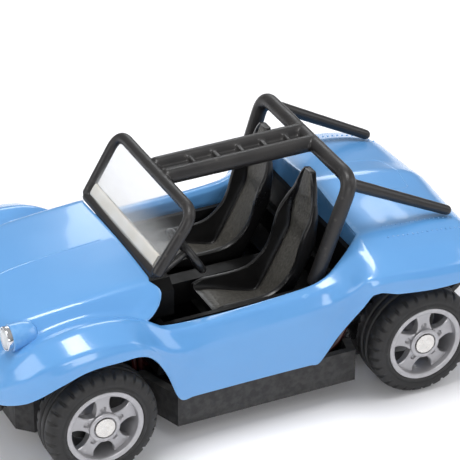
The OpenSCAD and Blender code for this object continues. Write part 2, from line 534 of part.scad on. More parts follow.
// ---------- cockpit ----------
tub_rear_x = deck_x + 1.6;
tub_step_x = motor_x + motor_d / 2 + 0.8;           // behind this the floor climbs over the motor
tub_step_z = motor_z + motor_d / 2 + tub_t + 0.5;
tub_front_x = cowl_x - 0.7;
seat_base_front_x = rear_x + 22.3;
tub_top_z = sill_z - 0.5;
tub_top_y = sill_y - 1.3;
tub_low_y = sill_y - 2.2;
tunnel_w = 3.0;
tunnel_z = seat_base_z + 2.4;
function tub_y(z) = mix(tub_low_y, tub_top_y, (z - footwell_z) / (tub_top_z - footwell_z));

// A solid as long as x0 to x1 whose section [y, z] is the same all along
module along_x(x0, x1, section) translate([x0, 0, 0]) rotate([90, 0, 90]) linear_extrude(x1 - x0) polygon(section);
// A solid from y = -w to w whose outline [x, z] is the same all along
module along_y(w, points) rotate([90, 0, 0]) linear_extrude(2 * w, center = true) polygon(points);
function tub_section(z0, z1, t) = [
    [-tub_y(z0) + t, z0], [tub_y(z0) - t, z0], [tub_y(z1) - t, z1], [-tub_y(z1) + t, z1]];

// The tub's stepped floor and its ends as an outline [x, z], t outside the inner faces, closed at height top
function tub_steps(t, top) = [
    [tub_rear_x + tub_t - t, tub_step_z - t], [tub_step_x - t, tub_step_z - t], [tub_step_x - t, seat_base_z - t],
    [seat_base_front_x - t, seat_base_z - t], [seat_base_front_x - t, footwell_z - t],
    [tub_front_x - tub_t + t, footwell_z - t], [tub_front_x - tub_t + t, top], [tub_rear_x + tub_t - t, top]];
module tub_form(t, top) intersection() {
    along_x(tub_rear_x - 1, tub_front_x + 1, tub_section(footwell_z - 1, top + 1, tub_t - t));
    along_y(sill_y, tub_steps(t, top));
}

module cockpit_tub() color([0.12, 0.12, 0.13]) union() {
    difference() {
        tub_form(tub_t, tub_top_z);
        tub_form(0, tub_top_z + 1);
    }
    // Legs that stand on the chassis pan
    for (side = [LEFT, RIGHT]) translate([seat_base_front_x + 2, side * 8, floor_z + 0.02]) cylinder(r = 0.8, h = footwell_z - tub_t - floor_z + 0.1);
    // Sloping panel that closes the gap up to the bulkhead
    along_y(sill_y - 1.6, [
        [tub_rear_x + 0.1, tub_step_z - tub_t], [tub_rear_x + tub_t, tub_step_z - tub_t + 0.3],
        [deck_x + 0.05 + tub_t, bulkhead_low_z + 0.4], [deck_x + 0.05 + tub_t, tub_top_z + 3.4],
        [deck_x + 0.05, tub_top_z + 3.4], [deck_x + 0.05, bulkhead_low_z + 0.2]]);
    // Centre tunnel with the hand lever's boss
    along_x(tub_step_x - 0.1, tub_front_x - tub_t + 0.1,
        [[-tunnel_w / 2, seat_base_z - 0.1], [tunnel_w / 2, seat_base_z - 0.1], [tunnel_w / 2 - 0.5, tunnel_z], [-tunnel_w / 2 + 0.5, tunnel_z]]);
    along_x(seat_base_front_x - 0.1, tub_front_x - tub_t + 0.1,
        [[-tunnel_w / 2, footwell_z - 0.1], [tunnel_w / 2, footwell_z - 0.1], [tunnel_w / 2, seat_base_z], [-tunnel_w / 2, seat_base_z]]);
}

dash_x = cowl_x - 3.0;
dash_top_z = cowl_z - 1.7;
module dashboard() color([0.1, 0.1, 0.11]) difference() {
    along_x(dash_x, cowl_x - 0.5, [
        [-tub_top_y + 1.6, tub_top_z + 0.1], [tub_top_y - 1.6, tub_top_z + 0.1], [bonnet_y - 0.6, dash_top_z - 1],
        [bonnet_y - 1.8, dash_top_z], [-bonnet_y + 1.8, dash_top_z], [-bonnet_y + 0.6, dash_top_z - 1]]);
    // The instrument recess ahead of the driver
    translate([dash_x - eps, seat_y, dash_top_z - 1.9]) rotate([0, 90, 0]) cylinder(r = 1.2, h = 0.4);
    translate([dash_x - eps, seat_y - 2.9, dash_top_z - 1.9]) rotate([0, 90, 0]) cylinder(r = 0.7, h = 0.3);
}

// Bucket seat: a shell whose floor turns up into the back, between side walls that end in a thin rim
seat_front_x = rear_x + 22.7;
seat_low_z = seat_base_z + seat_t;
// Rows run from the front edge to the headrest: [floor x, floor height, rim x, rim height, share of the half width]
seat_rows = [
    [0, 2.0, -0.1, 2.2, 0.97], [-1.6, 1.65, -1.3, 2.6, 1], [-3.4, 1.1, -2.8, 2.6, 1], [-5.4, 0.45, -4.6, 2.6, 1],
    [-6.9, 0.05, -6.1, 2.7, 1], [-7.8, 0.1, -7.3, 3.05, 1], [-8.6, 1.1, -8.4, 3.8, 1], [-9.9, 3.4, -9.3, 4.8, 1],
    [-11.0, 5.5, -9.95, 6.2, 1], [-11.9, 7.3, -10.3, 7.6, 1], [-12.15, 9.3, -10.9, 9.3, 1], [-12.4, 11.0, -11.75, 10.8, 0.93],
    [-12.6, 12.5, -12.4, 12.4, 0.72], [-12.75, 13.8, -12.7, 13.8, 0.56], [-12.85, 14.8, -12.8, 14.8, 0.4],
    [-12.95, 15.5, -12.9, 15.5, 0.25]];
// Points across the seat: [share of the way from floor to rim, share of the way from crease to rim]
seat_across = [[1, 1], [0.45, 0.4], [0, 0], [0, -1]];
function seat_point(r, a, side, t) = let (
        q = seat_rows[r],
        before = seat_rows[max(0, r - 1)],
        after = seat_rows[min(len(seat_rows) - 1, r + 1)],
        d = unit([after[0] - before[0], after[1] - before[1]]),
        up = [d[1], -d[0]],                         // out of the floor, towards the occupant
        half = q[4] * seat_w / 2,
        crease = half - min(1.1, half * 0.4),
        drop = t * (1 - a[0]),
        y = a[1] < 0 ? 0 : mix(crease + t * 0.5, half, a[1]) - (1 - t / seat_t) * seat_t * max(a[0], 0.35))
    [seat_front_x + mix(q[0], q[2], a[0]) - up[0] * drop, side * y, seat_low_z + mix(q[1], q[3], a[0]) - up[1] * drop];
module seat(side) color([0.14, 0.14, 0.15]) translate([0, side * seat_y, 0]) {
    across = [for (i = [0:3]) [seat_across[i], 1], for (i = [2:-1:0]) [seat_across[i], -1]];
    rows = len(seat_rows);
    m = len(across);
    n = rows * m;
    back = [for (r = [0:rows - 1]) for (a = across) seat_point(r, a[0], a[1], seat_t)];
    front = [for (r = [0:rows - 1]) for (a = across) seat_point(r, a[0], a[1], 0)];
    faces = concat(
        [for (i = [0:rows - 2]) for (j = [0:m - 2]) let (p = i * m + j)
            each [[p, p + 1, p + m + 1], [p, p + m + 1, p + m], [n + p, n + p + m + 1, n + p + 1], [n + p, n + p + m, n + p + m + 1]]],
        [for (i = [0:rows - 2]) let (p = i * m, q = p + m - 1)
            each [[p, p + m, n + p + m], [p, n + p + m, n + p], [q, n + q + m, q + m], [q, n + q, n + q + m]]],
        [for (j = [0:m - 2]) let (p = j, q = (rows - 1) * m + j)
            each [[p, n + p + 1, p + 1], [p, n + p, n + p + 1], [q, q + 1, n + q + 1], [q, n + q + 1, n + q]]]);
    polyhedron(concat(front, back), faces, convexity = 8);
}

steering_rim_d = 0.9;
steering_tilt = 50;
steering_at = [cowl_x - 6.2, seat_y, cowl_z - 0.5];
module steering_wheel() color([0.12, 0.12, 0.13]) translate(steering_at) rotate([0, -90 + steering_tilt / 1.6, 0]) union() {
    rotate_extrude() translate([steering_d / 2 - steering_rim_d / 2, 0]) circle(d = steering_rim_d, $fn = 24);
    cylinder(r = 0.8, h = 0.5, center = true);
    for (a = [0, 120, 240]) rotate(a) translate([0.3, -0.3, -0.15]) cube([steering_d / 2 - 0.7, 0.6, 0.3]);
}
module steering_column() color([0.15, 0.15, 0.16]) translate(steering_at) rotate([0, -90 + steering_tilt / 1.6, 0])
    translate([0, 0, -3.5]) cylinder(r = 0.45, h = 3.2);

// ---------- lamps ----------
lamp_at = [front_x + 8.3, bonnet_y - 0.2, wing_z - 1.8];
lamp_r = 1.4;
module headlight_bezel(side) color("silver") translate(flip(lamp_at, side)) rotate([0, 90, 0]) difference() {
    translate([0, 0, -0.55]) cylinder(r = lamp_r, h = 0.95);
    translate([0, 0, 0.05]) cylinder(r = lamp_r - 0.25, h = 1.1);
    translate([0, 0, -1]) cylinder(r = 0.7, h = 2);
}
module headlight_lens(side) color("white", 0.5) translate(flip(lamp_at, side)) rotate([0, 90, 0]) rotate_extrude()
    polygon([[0, 0.1], [lamp_r - 0.27, 0.1], [lamp_r - 0.27, 0.35], [0.8, 0.55], [0.4, 0.63], [0, 0.65]]);
module headlight_led(side) color("lightyellow") translate(flip(lamp_at, side)) rotate([0, 90, 0]) {
    translate([0, 0, -1.6]) cylinder(r = 0.65, h = 1.6);
    translate([0, 0, -2.2]) cylinder(r = 0.85, h = 0.62);
}
tail_lamp_at = [tail_x - 0.05, 7.6, arch_z - 2.2];
tail_lamp_r = 1.2;
module tail_light(side) color("firebrick") translate(flip(tail_lamp_at, side)) rotate([0, -90, 0]) rotate_extrude()
    polygon([[0, -0.6], [tail_lamp_r, -0.6], [tail_lamp_r, 0.3], [tail_lamp_r - 0.3, 0.55], [0, 0.65]]);

// ---------- bumpers and exhaust ----------
bumper_d = 1.4;
bumper_w = 19;
module bumper(x, z, direction) {
    inner_x = x - direction * 2.2;
    tube(bend([[inner_x, -bumper_w / 2, z], [x, -bumper_w / 2 + 1, z], [x, bumper_w / 2 - 1, z], [inner_x, bumper_w / 2, z]], 1.4, 4),
        bumper_d, bumper_d);
}
front_bumper_x = nose_x + bumper_reach - bumper_d / 2;
rear_bumper_x = tail_x - 2.7 - bumper_reach + bumper_d / 2;
front_bumper_z = arch_z - 6.8;
rear_bumper_z = arch_z - 6.0;
module bracket(x0, x1, z, y) translate([min(x0, x1), y - 0.5, z - 0.45]) cube([abs(x1 - x0), 1, 0.9]);
module front_bumper() color([0.13, 0.13, 0.14]) union() {
    bumper(front_bumper_x, front_bumper_z, 1);
    for (y = [-4, 4]) hull() {
        translate([front_bumper_x - 0.2, y, front_bumper_z]) cube([0.3, 1, 0.9], center = true);
        translate([pan_front_x + 0.25, y, floor_z + 1.6]) cube([0.3, 1, 0.9], center = true);
    }
}
module rear_bumper() color([0.13, 0.13, 0.14]) union() {
    bumper(rear_bumper_x, rear_bumper_z, -1);
    for (y = [-6, 6]) hull() {
        translate([rear_bumper_x + 0.2, y, rear_bumper_z]) cube([0.3, 1, 0.9], center = true);
        translate([pan_rear_x - 0.25, y, floor_z + 1.6]) cube([0.3, 1, 0.9], center = true);
    }
}
exhaust_d = 1.5;
exhaust_z = ground_z + 3.4;
module exhaust_pipes() color("silver") for (side = [LEFT, RIGHT]) difference() {
    translate([rear_bumper_x - 0.4, side * 2.6, exhaust_z]) rotate([0, 90, 0]) cylinder(d = exhaust_d, h = pan_rear_x - 0.1 - rear_bumper_x + 0.4);
    translate([rear_bumper_x - 0.5, side * 2.6, exhaust_z]) rotate([0, 90, 0]) cylinder(d = exhaust_d - 0.6, h = 2.4);
}

// ---------- chassis pan ----------
function pan_outline(t) = [
    [pan_rear_x + t, -pan_narrow + 1.6 + t], [pan_rear_x + t, pan_narrow - 1.6 - t], [pan_rear_x + 1.6 + t, pan_narrow - t],
    [pan_step_rear_x + t - 1, pan_narrow - t], [pan_step_rear_x + t, pan_wide - t], [pan_step_front_x - t, pan_wide - t],
    [pan_step_front_x + 2 - t, pan_nose - t], [pan_front_x - 1.6 - t, pan_nose - t], [pan_front_x - t, pan_nose - 1.6 - t],
    [pan_front_x - t, -pan_nose + 1.6 + t], [pan_front_x - 1.6 - t, -pan_nose + t], [pan_step_front_x + 2 - t, -pan_nose + t],
    [pan_step_front_x - t, -pan_wide + t], [pan_step_rear_x + t, -pan_wide + t], [pan_step_rear_x + t - 1, -pan_narrow + t],
    [pan_rear_x + 1.6 + t, -pan_narrow + t]];
bush_y = pan_narrow - pan_wall - 0.4 - bush_l;      // inner end of each bush
block_w = 4.4;
switch_at = [rear_x + 15.5, -pan_wide + 4.0];
knob_r = 1.5;
board_x = front_x - 7.6;
board_z = beam_z + beam_t + 0.9;
board_post_y = board_w / 2 + 0.1;
module chassis_pan() color([0.11, 0.11, 0.12]) difference() {
    union() {
        difference() {
            translate([0, 0, ground_z]) linear_extrude(pan_wall_z - ground_z) polygon(pan_outline(0));
            translate([0, 0, floor_z]) linear_extrude(pan_wall_z) polygon(pan_outline(pan_wall));
        }
        // Lower halves of the rear axle's bearing blocks
        for (side = [LEFT, RIGHT]) translate([rear_x - block_w / 2, side * (bush_y + bush_l / 2) - bush_l / 2, floor_z - eps])
            cube([block_w, bush_l, axle_z - floor_z]);
        // Lower arms that carry the kingpins
        for (side = [LEFT, RIGHT]) translate([front_x, side * kingpin_y, ground_z]) {
            cylinder(r = 1.3, h = knuckle_low_z - 0.2 - ground_z);
            translate([-1.3, side > 0 ? -2.6 : 0, 0]) cube([2.6, 2.6, knuckle_low_z - 0.2 - ground_z]);
        }
        // Pillars under the front beam, and posts under the receiver board
        for (side = [LEFT, RIGHT]) translate([front_x, side * (pan_nose - 1.9), floor_z - eps]) cylinder(r = 1.0, h = beam_z - floor_z);
        for (x = [board_x + 2.3, board_x + board_l - 0.7]) for (side = [LEFT, RIGHT])
            translate([x, side * (pan_nose - 1.5), floor_z - eps]) cylinder(r = 0.6, h = board_z - floor_z);
        // Cradle under the motor
        translate([motor_x - 2.2, motor_face_y + 1, floor_z - eps]) cube([4.4, 1, motor_z - floor_z]);
        translate([motor_x - 2.2, motor_face_y + motor_l - 2, floor_z - eps]) cube([4.4, 1, motor_z - floor_z]);
    }
    translate([rear_x, 0, axle_z]) rotate([90, 0, 0]) cylinder(d = bush_d, h = 2 * wheel_y, center = true);
    for (side = [LEFT, RIGHT]) translate([front_x, side * kingpin_y, ground_z + 0.6]) cylinder(d = kingpin_d, h = 5);
    translate([motor_x, motor_face_y - 0.5, motor_z]) rotate([-90, 0, 0]) cylinder(d = motor_d + 0.04, h = motor_l + 1);
    // Switch slot, trim knob's hole and countersunk screw holes
    translate([switch_at[0] - 1.0, switch_at[1] - 0.6, ground_z - 1]) cube([1.6 + switch_travel + 0.4, 1.2, 3]);
    translate([servo_x, 0, ground_z - 1]) cylinder(r = knob_r + 0.08, h = 3);
    for (x = [front_post_x, rear_post_x]) {
        translate([x, 0, ground_z - 1]) cylinder(d = screw_d + 0.2, h = 3);
        translate([x, 0, ground_z - 1]) cylinder(d = screw_head_d + 0.2, h = 1.4);
    }
}
module body_screws() color("gray") for (x = [front_post_x, rear_post_x]) translate([x, 0, ground_z]) difference() {
    union() {
        translate([0, 0, 0.02]) cylinder(d = screw_head_d, h = 0.36);
        translate([0, 0, 0.3]) cylinder(d = screw_d - 0.1, h = 5.4);
    }
    for (a = [0, 90]) rotate(a) translate([-0.6, -0.12, -0.1]) cube([1.2, 0.24, 0.3]);
}

// ---------- rear drive ----------
head_r = 1.15;
head_h = 0.45;
head_recess = 0.15;                                 // axle heads sit this far inside the wheel's face
head_y = wheel_y - head_recess;
module axle_head(side) translate([0, side * (head_y - head_h / 2), 0]) rotate([90, 0, 0]) cylinder(r = head_r, h = head_h, center = true);
module rear_axle() color("lightgray") translate([rear_x, 0, axle_z]) union() {
    rotate([90, 0, 0]) cylinder(d = axle_d, h = 2 * head_y - 0.2, center = true);
    for (side = [LEFT, RIGHT]) axle_head(side);
}
module rear_bushes() color("goldenrod") for (side = [LEFT, RIGHT])
    translate([rear_x, side * (bush_y + bush_l / 2), axle_z]) rotate([90, 0, 0]) difference() {
        cylinder(d = bush_d, h = bush_l, center = true);
        cylinder(d = axle_d + 2 * axle_fit, h = bush_l + 1, center = true);
    }

// Spur gear outline with straight-sided teeth
function gear_points(teeth) = let (r = gear_module * teeth / 2, pitch = 360 / teeth) [
    for (i = [0:teeth - 1]) let (a = i * pitch)
        each [for (q = [[r - 1.15 * gear_module, -0.34], [r - 0.1 * gear_module, -0.22], [r + 0.85 * gear_module, -0.11],
                [r + 0.85 * gear_module, 0.11], [r - 0.1 * gear_module, 0.22], [r - 1.15 * gear_module, 0.34]])
            q[0] * [cos(a + q[1] * pitch), sin(a + q[1] * pitch)]]];
// A gear lying along Y from y0, turned by a degrees about its own axis
module spur(teeth, y0, w, bore, a) translate([0, y0 + w, 0]) rotate([90, 0, 0]) rotate(a) difference() {
    linear_extrude(w) polygon(gear_points(teeth));
    translate([0, 0, -1]) cylinder(d = bore, h = w + 2);
}
// Seen from the right side, the angle at which a gear shows a tooth towards its neighbour
axle_turn = idler_angle;
idler_small_turn = idler_angle + 180 + 180 / pinion_teeth;
pinion_turn = motor_angle + 180 + 180 / pinion_teeth;
module axle_gear() color("ivory") translate([rear_x, 0, axle_z]) spur(axle_teeth, small_gear_y, gear_w, axle_d - 0.02, axle_turn);
module idler_gear() color("ivory") translate([idler_x, 0, idler_z]) union() {
    spur(pinion_teeth, small_gear_y, gear_w, idler_pin_d + 2 * axle_fit, idler_small_turn);
    spur(idler_teeth, large_gear_y, gear_w, idler_pin_d + 2 * axle_fit, motor_angle);
    translate([0, large_gear_y, 0]) rotate([90, 0, 0]) difference() {
        cylinder(r = pinion_r - 1.2 * gear_module, h = gear_gap);
        translate([0, 0, -1]) cylinder(d = idler_pin_d + 2 * axle_fit, h = 3);
    }
}
module idler_pin() color("lightgray") translate([idler_x, case_outer_y + case_t, idler_z]) rotate([90, 0, 0])
    cylinder(d = idler_pin_d, h = case_outer_y - case_inner_y + 2 * case_t);
module motor_pinion() color("gold") translate([motor_x, 0, motor_z]) spur(pinion_teeth, large_gear_y, gear_w, motor_shaft_d - 0.02, pinion_turn);
module motor_shaft() color("lightgray") translate([motor_x, motor_face_y + 0.8, motor_z]) rotate([90, 0, 0])
    cylinder(d = motor_shaft_d, h = motor_face_y + 0.8 - large_gear_y + 0.2);
module motor_can() color("silver") translate([motor_x, motor_face_y, motor_z]) rotate([-90, 0, 0]) difference() {
    union() {
        cylinder(d = motor_d, h = motor_l - 0.5);
        cylinder(d = motor_d - 0.8, h = motor_l);
        translate([0, 0, -0.3]) cylinder(r = 0.9, h = 0.4);
    }
    translate([0, 0, -1]) cylinder(d = motor_shaft_d + 2 * axle_fit, h = 2);
}

// Case: two side plates with a bridge, and the upper halves of the axle's bearing blocks
case_rear_x = rear_x - 2.0;
case_front_x = motor_x + 1.8;
case_top_z = idler_z + idler_r + gear_module + 0.2;
case_low_z = floor_z + 0.1;
module case_plate(y0) translate([0, y0 + case_t, 0]) rotate([90, 0, 0]) difference() {
    linear_extrude(case_t) polygon([
        [case_rear_x, case_low_z], [case_front_x, case_low_z], [case_front_x, motor_z + 1.6], [idler_x + 2.4, case_top_z],
        [idler_x - 2.0, case_top_z], [case_rear_x, axle_z + 2.6]]);
    translate([rear_x, axle_z, -1]) cylinder(d = axle_d + 0.6, h = case_t + 2);
    translate([idler_x, idler_z, -1]) cylinder(d = idler_pin_d, h = case_t + 2);
    translate([motor_x, motor_z, -1]) cylinder(r = 1.0, h = case_t + 2);
}
module gearbox_case() color([0.2, 0.2, 0.21]) union() {
    case_plate(case_inner_y - case_t);
    case_plate(case_outer_y);
    translate([idler_x - 2.0, case_inner_y - case_t, case_top_z - 0.15]) cube([4.4, case_outer_y - case_inner_y + 2 * case_t, 0.5]);
    for (side = [LEFT, RIGHT]) difference() {
        union() {
            translate([rear_x - block_w / 2, side * (bush_y + bush_l / 2) - bush_l / 2, axle_z]) cube([block_w, bush_l, bush_d / 2 + 0.8]);
            translate([rear_x - 1, side > 0 ? case_outer_y : -bush_y - eps, axle_z + bush_d / 2]) cube([2, side > 0 ? bush_y - case_outer_y + eps : bush_y + case_inner_y, 0.8]);
        }
        translate([rear_x, 0, axle_z]) rotate([90, 0, 0]) cylinder(d = bush_d, h = 2 * wheel_y, center = true);
    }
}

// ---------- wheels ----------
rim_r = rim_d / 2;
hub_r = 1.75;
// Drawn with the outer face at y = 0 and the wheel's inside towards -Y
module rim_body(w, bore) rotate([-90, 0, 0]) difference() {
    union() {
        // Barrel and outer lip
        translate([0, 0, -w + 0.3]) difference() {
            cylinder(r = rim_r - 0.25, h = w - 0.6);
            translate([0, 0, -1]) cylinder(r = rim_r - 0.75, h = w + 2);
        }
        translate([0, 0, -0.85]) difference() {
            cylinder(r = rim_r, h = 0.75);
            translate([0, 0, -1]) cylinder(r = rim_r - 0.6, h = 3);
        }
        // Spoked disc
        translate([0, 0, -1.5]) difference() {
            cylinder(r = rim_r - 0.5, h = 1.0);
            for (i = [0:spoke_count - 1]) rotate(360 * (i + 0.5) / spoke_count) translate([0, 0, -1]) linear_extrude(3)
                polygon([[hub_r + 0.15, 0], [rim_r - 1.15, -1.25], [rim_r - 0.85, -0.6], [rim_r - 0.75, 0],
                    [rim_r - 0.85, 0.6], [rim_r - 1.15, 1.25]]);
        }
        translate([0, 0, -w + 0.3]) cylinder(r = hub_r, h = w - 0.6);
    }
    translate([0, 0, -w - 1]) cylinder(d = bore, h = w + 2);
    // Recess round the axle's head
    translate([0, 0, -head_recess - head_h - 0.1]) cylinder(r = head_r + 0.15, h = 2);
    // Nut recesses, one at each spoke's root
    for (i = [0:spoke_count - 1]) rotate(360 * i / spoke_count) translate([hub_r + 0.55, 0, -0.9]) cylinder(r = 0.28, h = 1);
}
module tyre_body(w) rotate([-90, 0, 0]) difference() {
    rotate_extrude($fn = 96) polygon([
        [rim_r - 0.25, -w + 0.25], [rim_r + 0.35, -w], [tyre_d / 2 - 0.9, -w + 0.1], [tyre_d / 2 - 0.3, -w + 0.45], [tyre_d / 2, -w + 1.1],
        [tyre_d / 2, -w * 0.64], [tyre_d / 2 - 0.25, -w * 0.62], [tyre_d / 2 - 0.25, -w * 0.58], [tyre_d / 2, -w * 0.56],
        [tyre_d / 2, -w * 0.44], [tyre_d / 2 - 0.25, -w * 0.42], [tyre_d / 2 - 0.25, -w * 0.38], [tyre_d / 2, -w * 0.36],
        [tyre_d / 2, -1.1], [tyre_d / 2 - 0.3, -0.45], [tyre_d / 2 - 0.9, -0.1], [rim_r + 0.35, 0], [rim_r + 0.02, -0.15],
        [rim_r + 0.02, -0.85], [rim_r - 0.25, -0.87]]);
    for (i = [0:tread_count - 1]) rotate(360 * i / tread_count) for (z = [-1.2, -w - 0.1])
        translate([tyre_d / 2 - 0.28, -0.14, z]) cube([1, 0.28, 1.3]);
}
module at_wheel(x, side) translate([x, side * wheel_y, axle_z]) mirror([0, side > 0 ? 0 : 1, 0]) children();
module rear_rim(side) color("gainsboro") at_wheel(rear_x, side) rim_body(rear_tyre_w, axle_d - 0.02);
module front_rim(side) color("gainsboro") at_wheel(front_x, side) rim_body(front_tyre_w, axle_d + 2 * axle_fit);
module rear_tyre(side) color([0.1, 0.1, 0.1]) at_wheel(rear_x, side) tyre_body(rear_tyre_w);
module front_tyre(side) color([0.1, 0.1, 0.1]) at_wheel(front_x, side) tyre_body(front_tyre_w);

// ---------- steering ----------
knuckle_r = 1.3;
knuckle_face_y = wheel_y - front_tyre_w;            // outer face of a knuckle, short of the rim's hub
module knuckle(side) color([0.16, 0.16, 0.17]) difference() {
    union() {
        translate([front_x, side * kingpin_y, knuckle_low_z]) cylinder(r = knuckle_r, h = knuckle_high_z - knuckle_low_z);
        translate([front_x, side * kingpin_y, axle_z]) rotate([side > 0 ? -90 : 90, 0, 0]) cylinder(r = 1.25, h = knuckle_face_y - kingpin_y);
        translate([rod_x, side * kingpin_y - 0.7, rod_z - 1.0]) cube([steer_arm, 1.4, 0.8]);
        translate([rod_x, side * kingpin_y, rod_z - 1.0]) cylinder(r = 0.8, h = 0.8);
        translate([rod_x, side * kingpin_y, rod_z - 1.0]) cylinder(d = steer_pin_d, h = 2.2);
    }
    translate([front_x, side * kingpin_y, 0]) cylinder(d = kingpin_d + 2 * axle_fit, h = 30);
    translate([front_x, side * kingpin_y, axle_z]) rotate([side > 0 ? -90 : 90, 0, 0])
        translate([0, 0, kingpin_d / 2 + 0.35]) cylinder(d = axle_d - 0.02, h = 5);
}
module kingpins() color("lightgray") for (side = [LEFT, RIGHT]) translate([front_x, side * kingpin_y, ground_z + 0.6])
    cylinder(d = kingpin_d, h = beam_z + beam_t - ground_z - 0.6);
module front_beam() color([0.13, 0.13, 0.14]) translate([front_x, 0, beam_z]) difference() {
    union() {
        translate([-1.3, -kingpin_y, 0]) cube([2.6, 2 * kingpin_y, beam_t]);
        for (side = [LEFT, RIGHT]) translate([0, side * kingpin_y, 0]) cylinder(r = 1.3, h = beam_t);
    }
    for (side = [LEFT, RIGHT]) translate([0, side * kingpin_y, -1]) cylinder(d = kingpin_d, h = beam_t + 2);
}
module stub_axle(side) color("lightgray") translate([front_x, 0, axle_z]) union() {
    translate([0, side * (kingpin_y + kingpin_d / 2 + 0.35), 0]) rotate([side > 0 ? -90 : 90, 0, 0])
        cylinder(d = axle_d, h = head_y - 0.1 - kingpin_y - kingpin_d / 2 - 0.35);
    axle_head(side);
}
// A slot along X, cut through everything from z = -1 to 3
module pin_slot(travel) for (x = [-travel, travel]) translate([x, 0, -1]) cylinder(d = steer_pin_d + 2 * steer_fit, h = 4);
slot_travel = 0.2;
module slot(travel) { pin_slot(travel); translate([-travel, -steer_pin_d / 2 - steer_fit, -1]) cube([2 * travel, steer_pin_d + 2 * steer_fit, 4]); }
module tie_rod() color([0.18, 0.18, 0.19]) translate([rod_x, 0, rod_z]) difference() {
    union() {
        translate([-0.95, -kingpin_y, 0]) cube([1.9, 2 * kingpin_y, rod_t]);
        for (y = [-kingpin_y, kingpin_y]) translate([0, y, 0]) cylinder(r = 1.0, h = rod_t);
    }
    for (y = [-kingpin_y, 0, kingpin_y]) translate([0, y, 0]) slot(slot_travel);
}
servo_top_z = rod_z - 0.6;
module steering_servo() color([0.15, 0.2, 0.35]) difference() {
    union() {
        translate([servo_x - 2.3, -5.4, floor_z + 0.05]) cube([4.4, 8.6, servo_top_z - floor_z - 0.05]);
        translate([servo_x, 0, servo_top_z - eps]) cylinder(r = 1.3, h = 0.4);
    }
    translate([servo_x, 0, servo_top_z - 1.2]) cylinder(r = 0.7 + axle_fit, h = 3);
}
arm_z = rod_z + rod_t + 0.25;
module servo_arm() color("white") union() {
    translate([servo_x, 0, servo_top_z - 1.1]) cylinder(r = 0.7, h = arm_z - servo_top_z + 1.2);
    translate([servo_x, 0, arm_z]) cylinder(r = 1.1, h = 0.6);
    translate([servo_x, -0.6, arm_z]) cube([steer_arm, 1.2, 0.6]);
    translate([rod_x, 0, arm_z]) cylinder(r = 0.75, h = 0.6);
    translate([rod_x, 0, rod_z + 0.05]) cylinder(d = steer_pin_d, h = arm_z - rod_z);
}
module trim_knob() color([0.2, 0.2, 0.21]) translate([servo_x, 0, ground_z + 0.05]) difference() {
    cylinder(r = knob_r, h = 0.6);
    translate([-1.2, -0.15, -1]) cube([2.4, 0.3, 1.3]);
}

// ---------- electronics ----------
battery_x = seat_base_front_x - 10.6;
module battery() color("silver") translate([battery_x, -battery_w / 2, floor_z + 0.1]) {
    cube([battery_l, battery_w, battery_t]);
    translate([battery_l - eps, 1, 0.6]) cube([0.8, battery_w - 2, battery_t - 1.2]);
}
module receiver_board() color("seagreen") translate([board_x, -board_w / 2, board_z]) difference() {
    cube([board_l, board_w, board_t]);
    translate([5.2, board_w / 2 - 1.8, -1]) cube([2.0, 1.1, 3]);
}
module board_chips() color([0.08, 0.08, 0.08]) translate([board_x, 0, board_z + board_t]) {
    translate([1.6, -3.4, 0]) cube([3.2, 3.2, 0.9]);
    translate([6.0, 1.6, 0]) cube([2.4, 2.0, 0.7]);
    translate([7.8, -4.0, 0]) cube([1.2, 3.4, 1.1]);
    for (i = [0:3]) translate([1.2 + 1.1 * i, 4.4, 0]) cube([0.6, 0.9, 0.4]);
    translate([3.2, 2.4, 0]) cylinder(r = 0.8, h = 1.6);
}
module charge_socket() color("silver") translate([pan_rear_x + pan_wall + 0.05, 3.4, floor_z + 0.05]) difference() {
    cube([2.4, 2.9, 1.5]);
    translate([-1, 0.25, 0.25]) cube([3, 2.4, 1.0]);
}
module power_switch_case() color("lightgray") translate([switch_at[0] - 1.9, switch_at[1] - 1.5, floor_z + 0.05]) difference() {
    cube([5.6, 3.0, 2.0]);
    translate([0.5, 0.5, -1]) cube([4.6, 2.0, 2.2]);
}
module power_switch_slider() color([0.1, 0.1, 0.1]) translate([switch_at[0], switch_at[1], 0]) {
    translate([-0.8, -0.5, ground_z + 0.05]) cube([1.6, 1.0, floor_z + 0.15 - ground_z]);
    translate([-1.2, -0.9, floor_z + 0.15]) cube([2.4, 1.8, 0.9]);
}

// ---------- wires ----------
// Each route is in millimetres, from its first joint to its last
antenna_route = [
    [board_x + 0.8, -board_w / 2 + 1.0, board_z - 0.15], [board_x - 0.6, -5.9, board_z - 1.8], [board_x - 0.8, -6.2, 8.0],
    [board_x - 1.4, -6.6, 4.4], [pan_step_front_x - 2, -9.0, 3.6], [6, -11.6, 3.5], [0, -11.9, 3.5]];
motor_route = [
    [motor_x, motor_face_y + motor_l + 0.45, motor_z + 0.4], [motor_x + 1.6, motor_face_y + motor_l + 0.9, motor_z - 1.6],
    [motor_x + 4, pan_wide - 2.0, 3.9], [-2, pan_wide - 1.7, 3.5], [6, pan_wide - 1.9, 3.5], [9.4, 8.4, 3.5], [12.5, 5.9, 4.2],
    [board_x - 0.3, 5.7, 8.0], [board_x + 1.0, 5.5, board_z - 0.1]];
battery_route = [
    [battery_x + battery_l + 1.2, 2.4, floor_z + 1.7], [battery_x + battery_l + 2.6, 3.7, 4.8], [board_x - 0.4, 3.6, 8.2],
    [board_x + 1.0, 3.4, board_z - 0.1]];
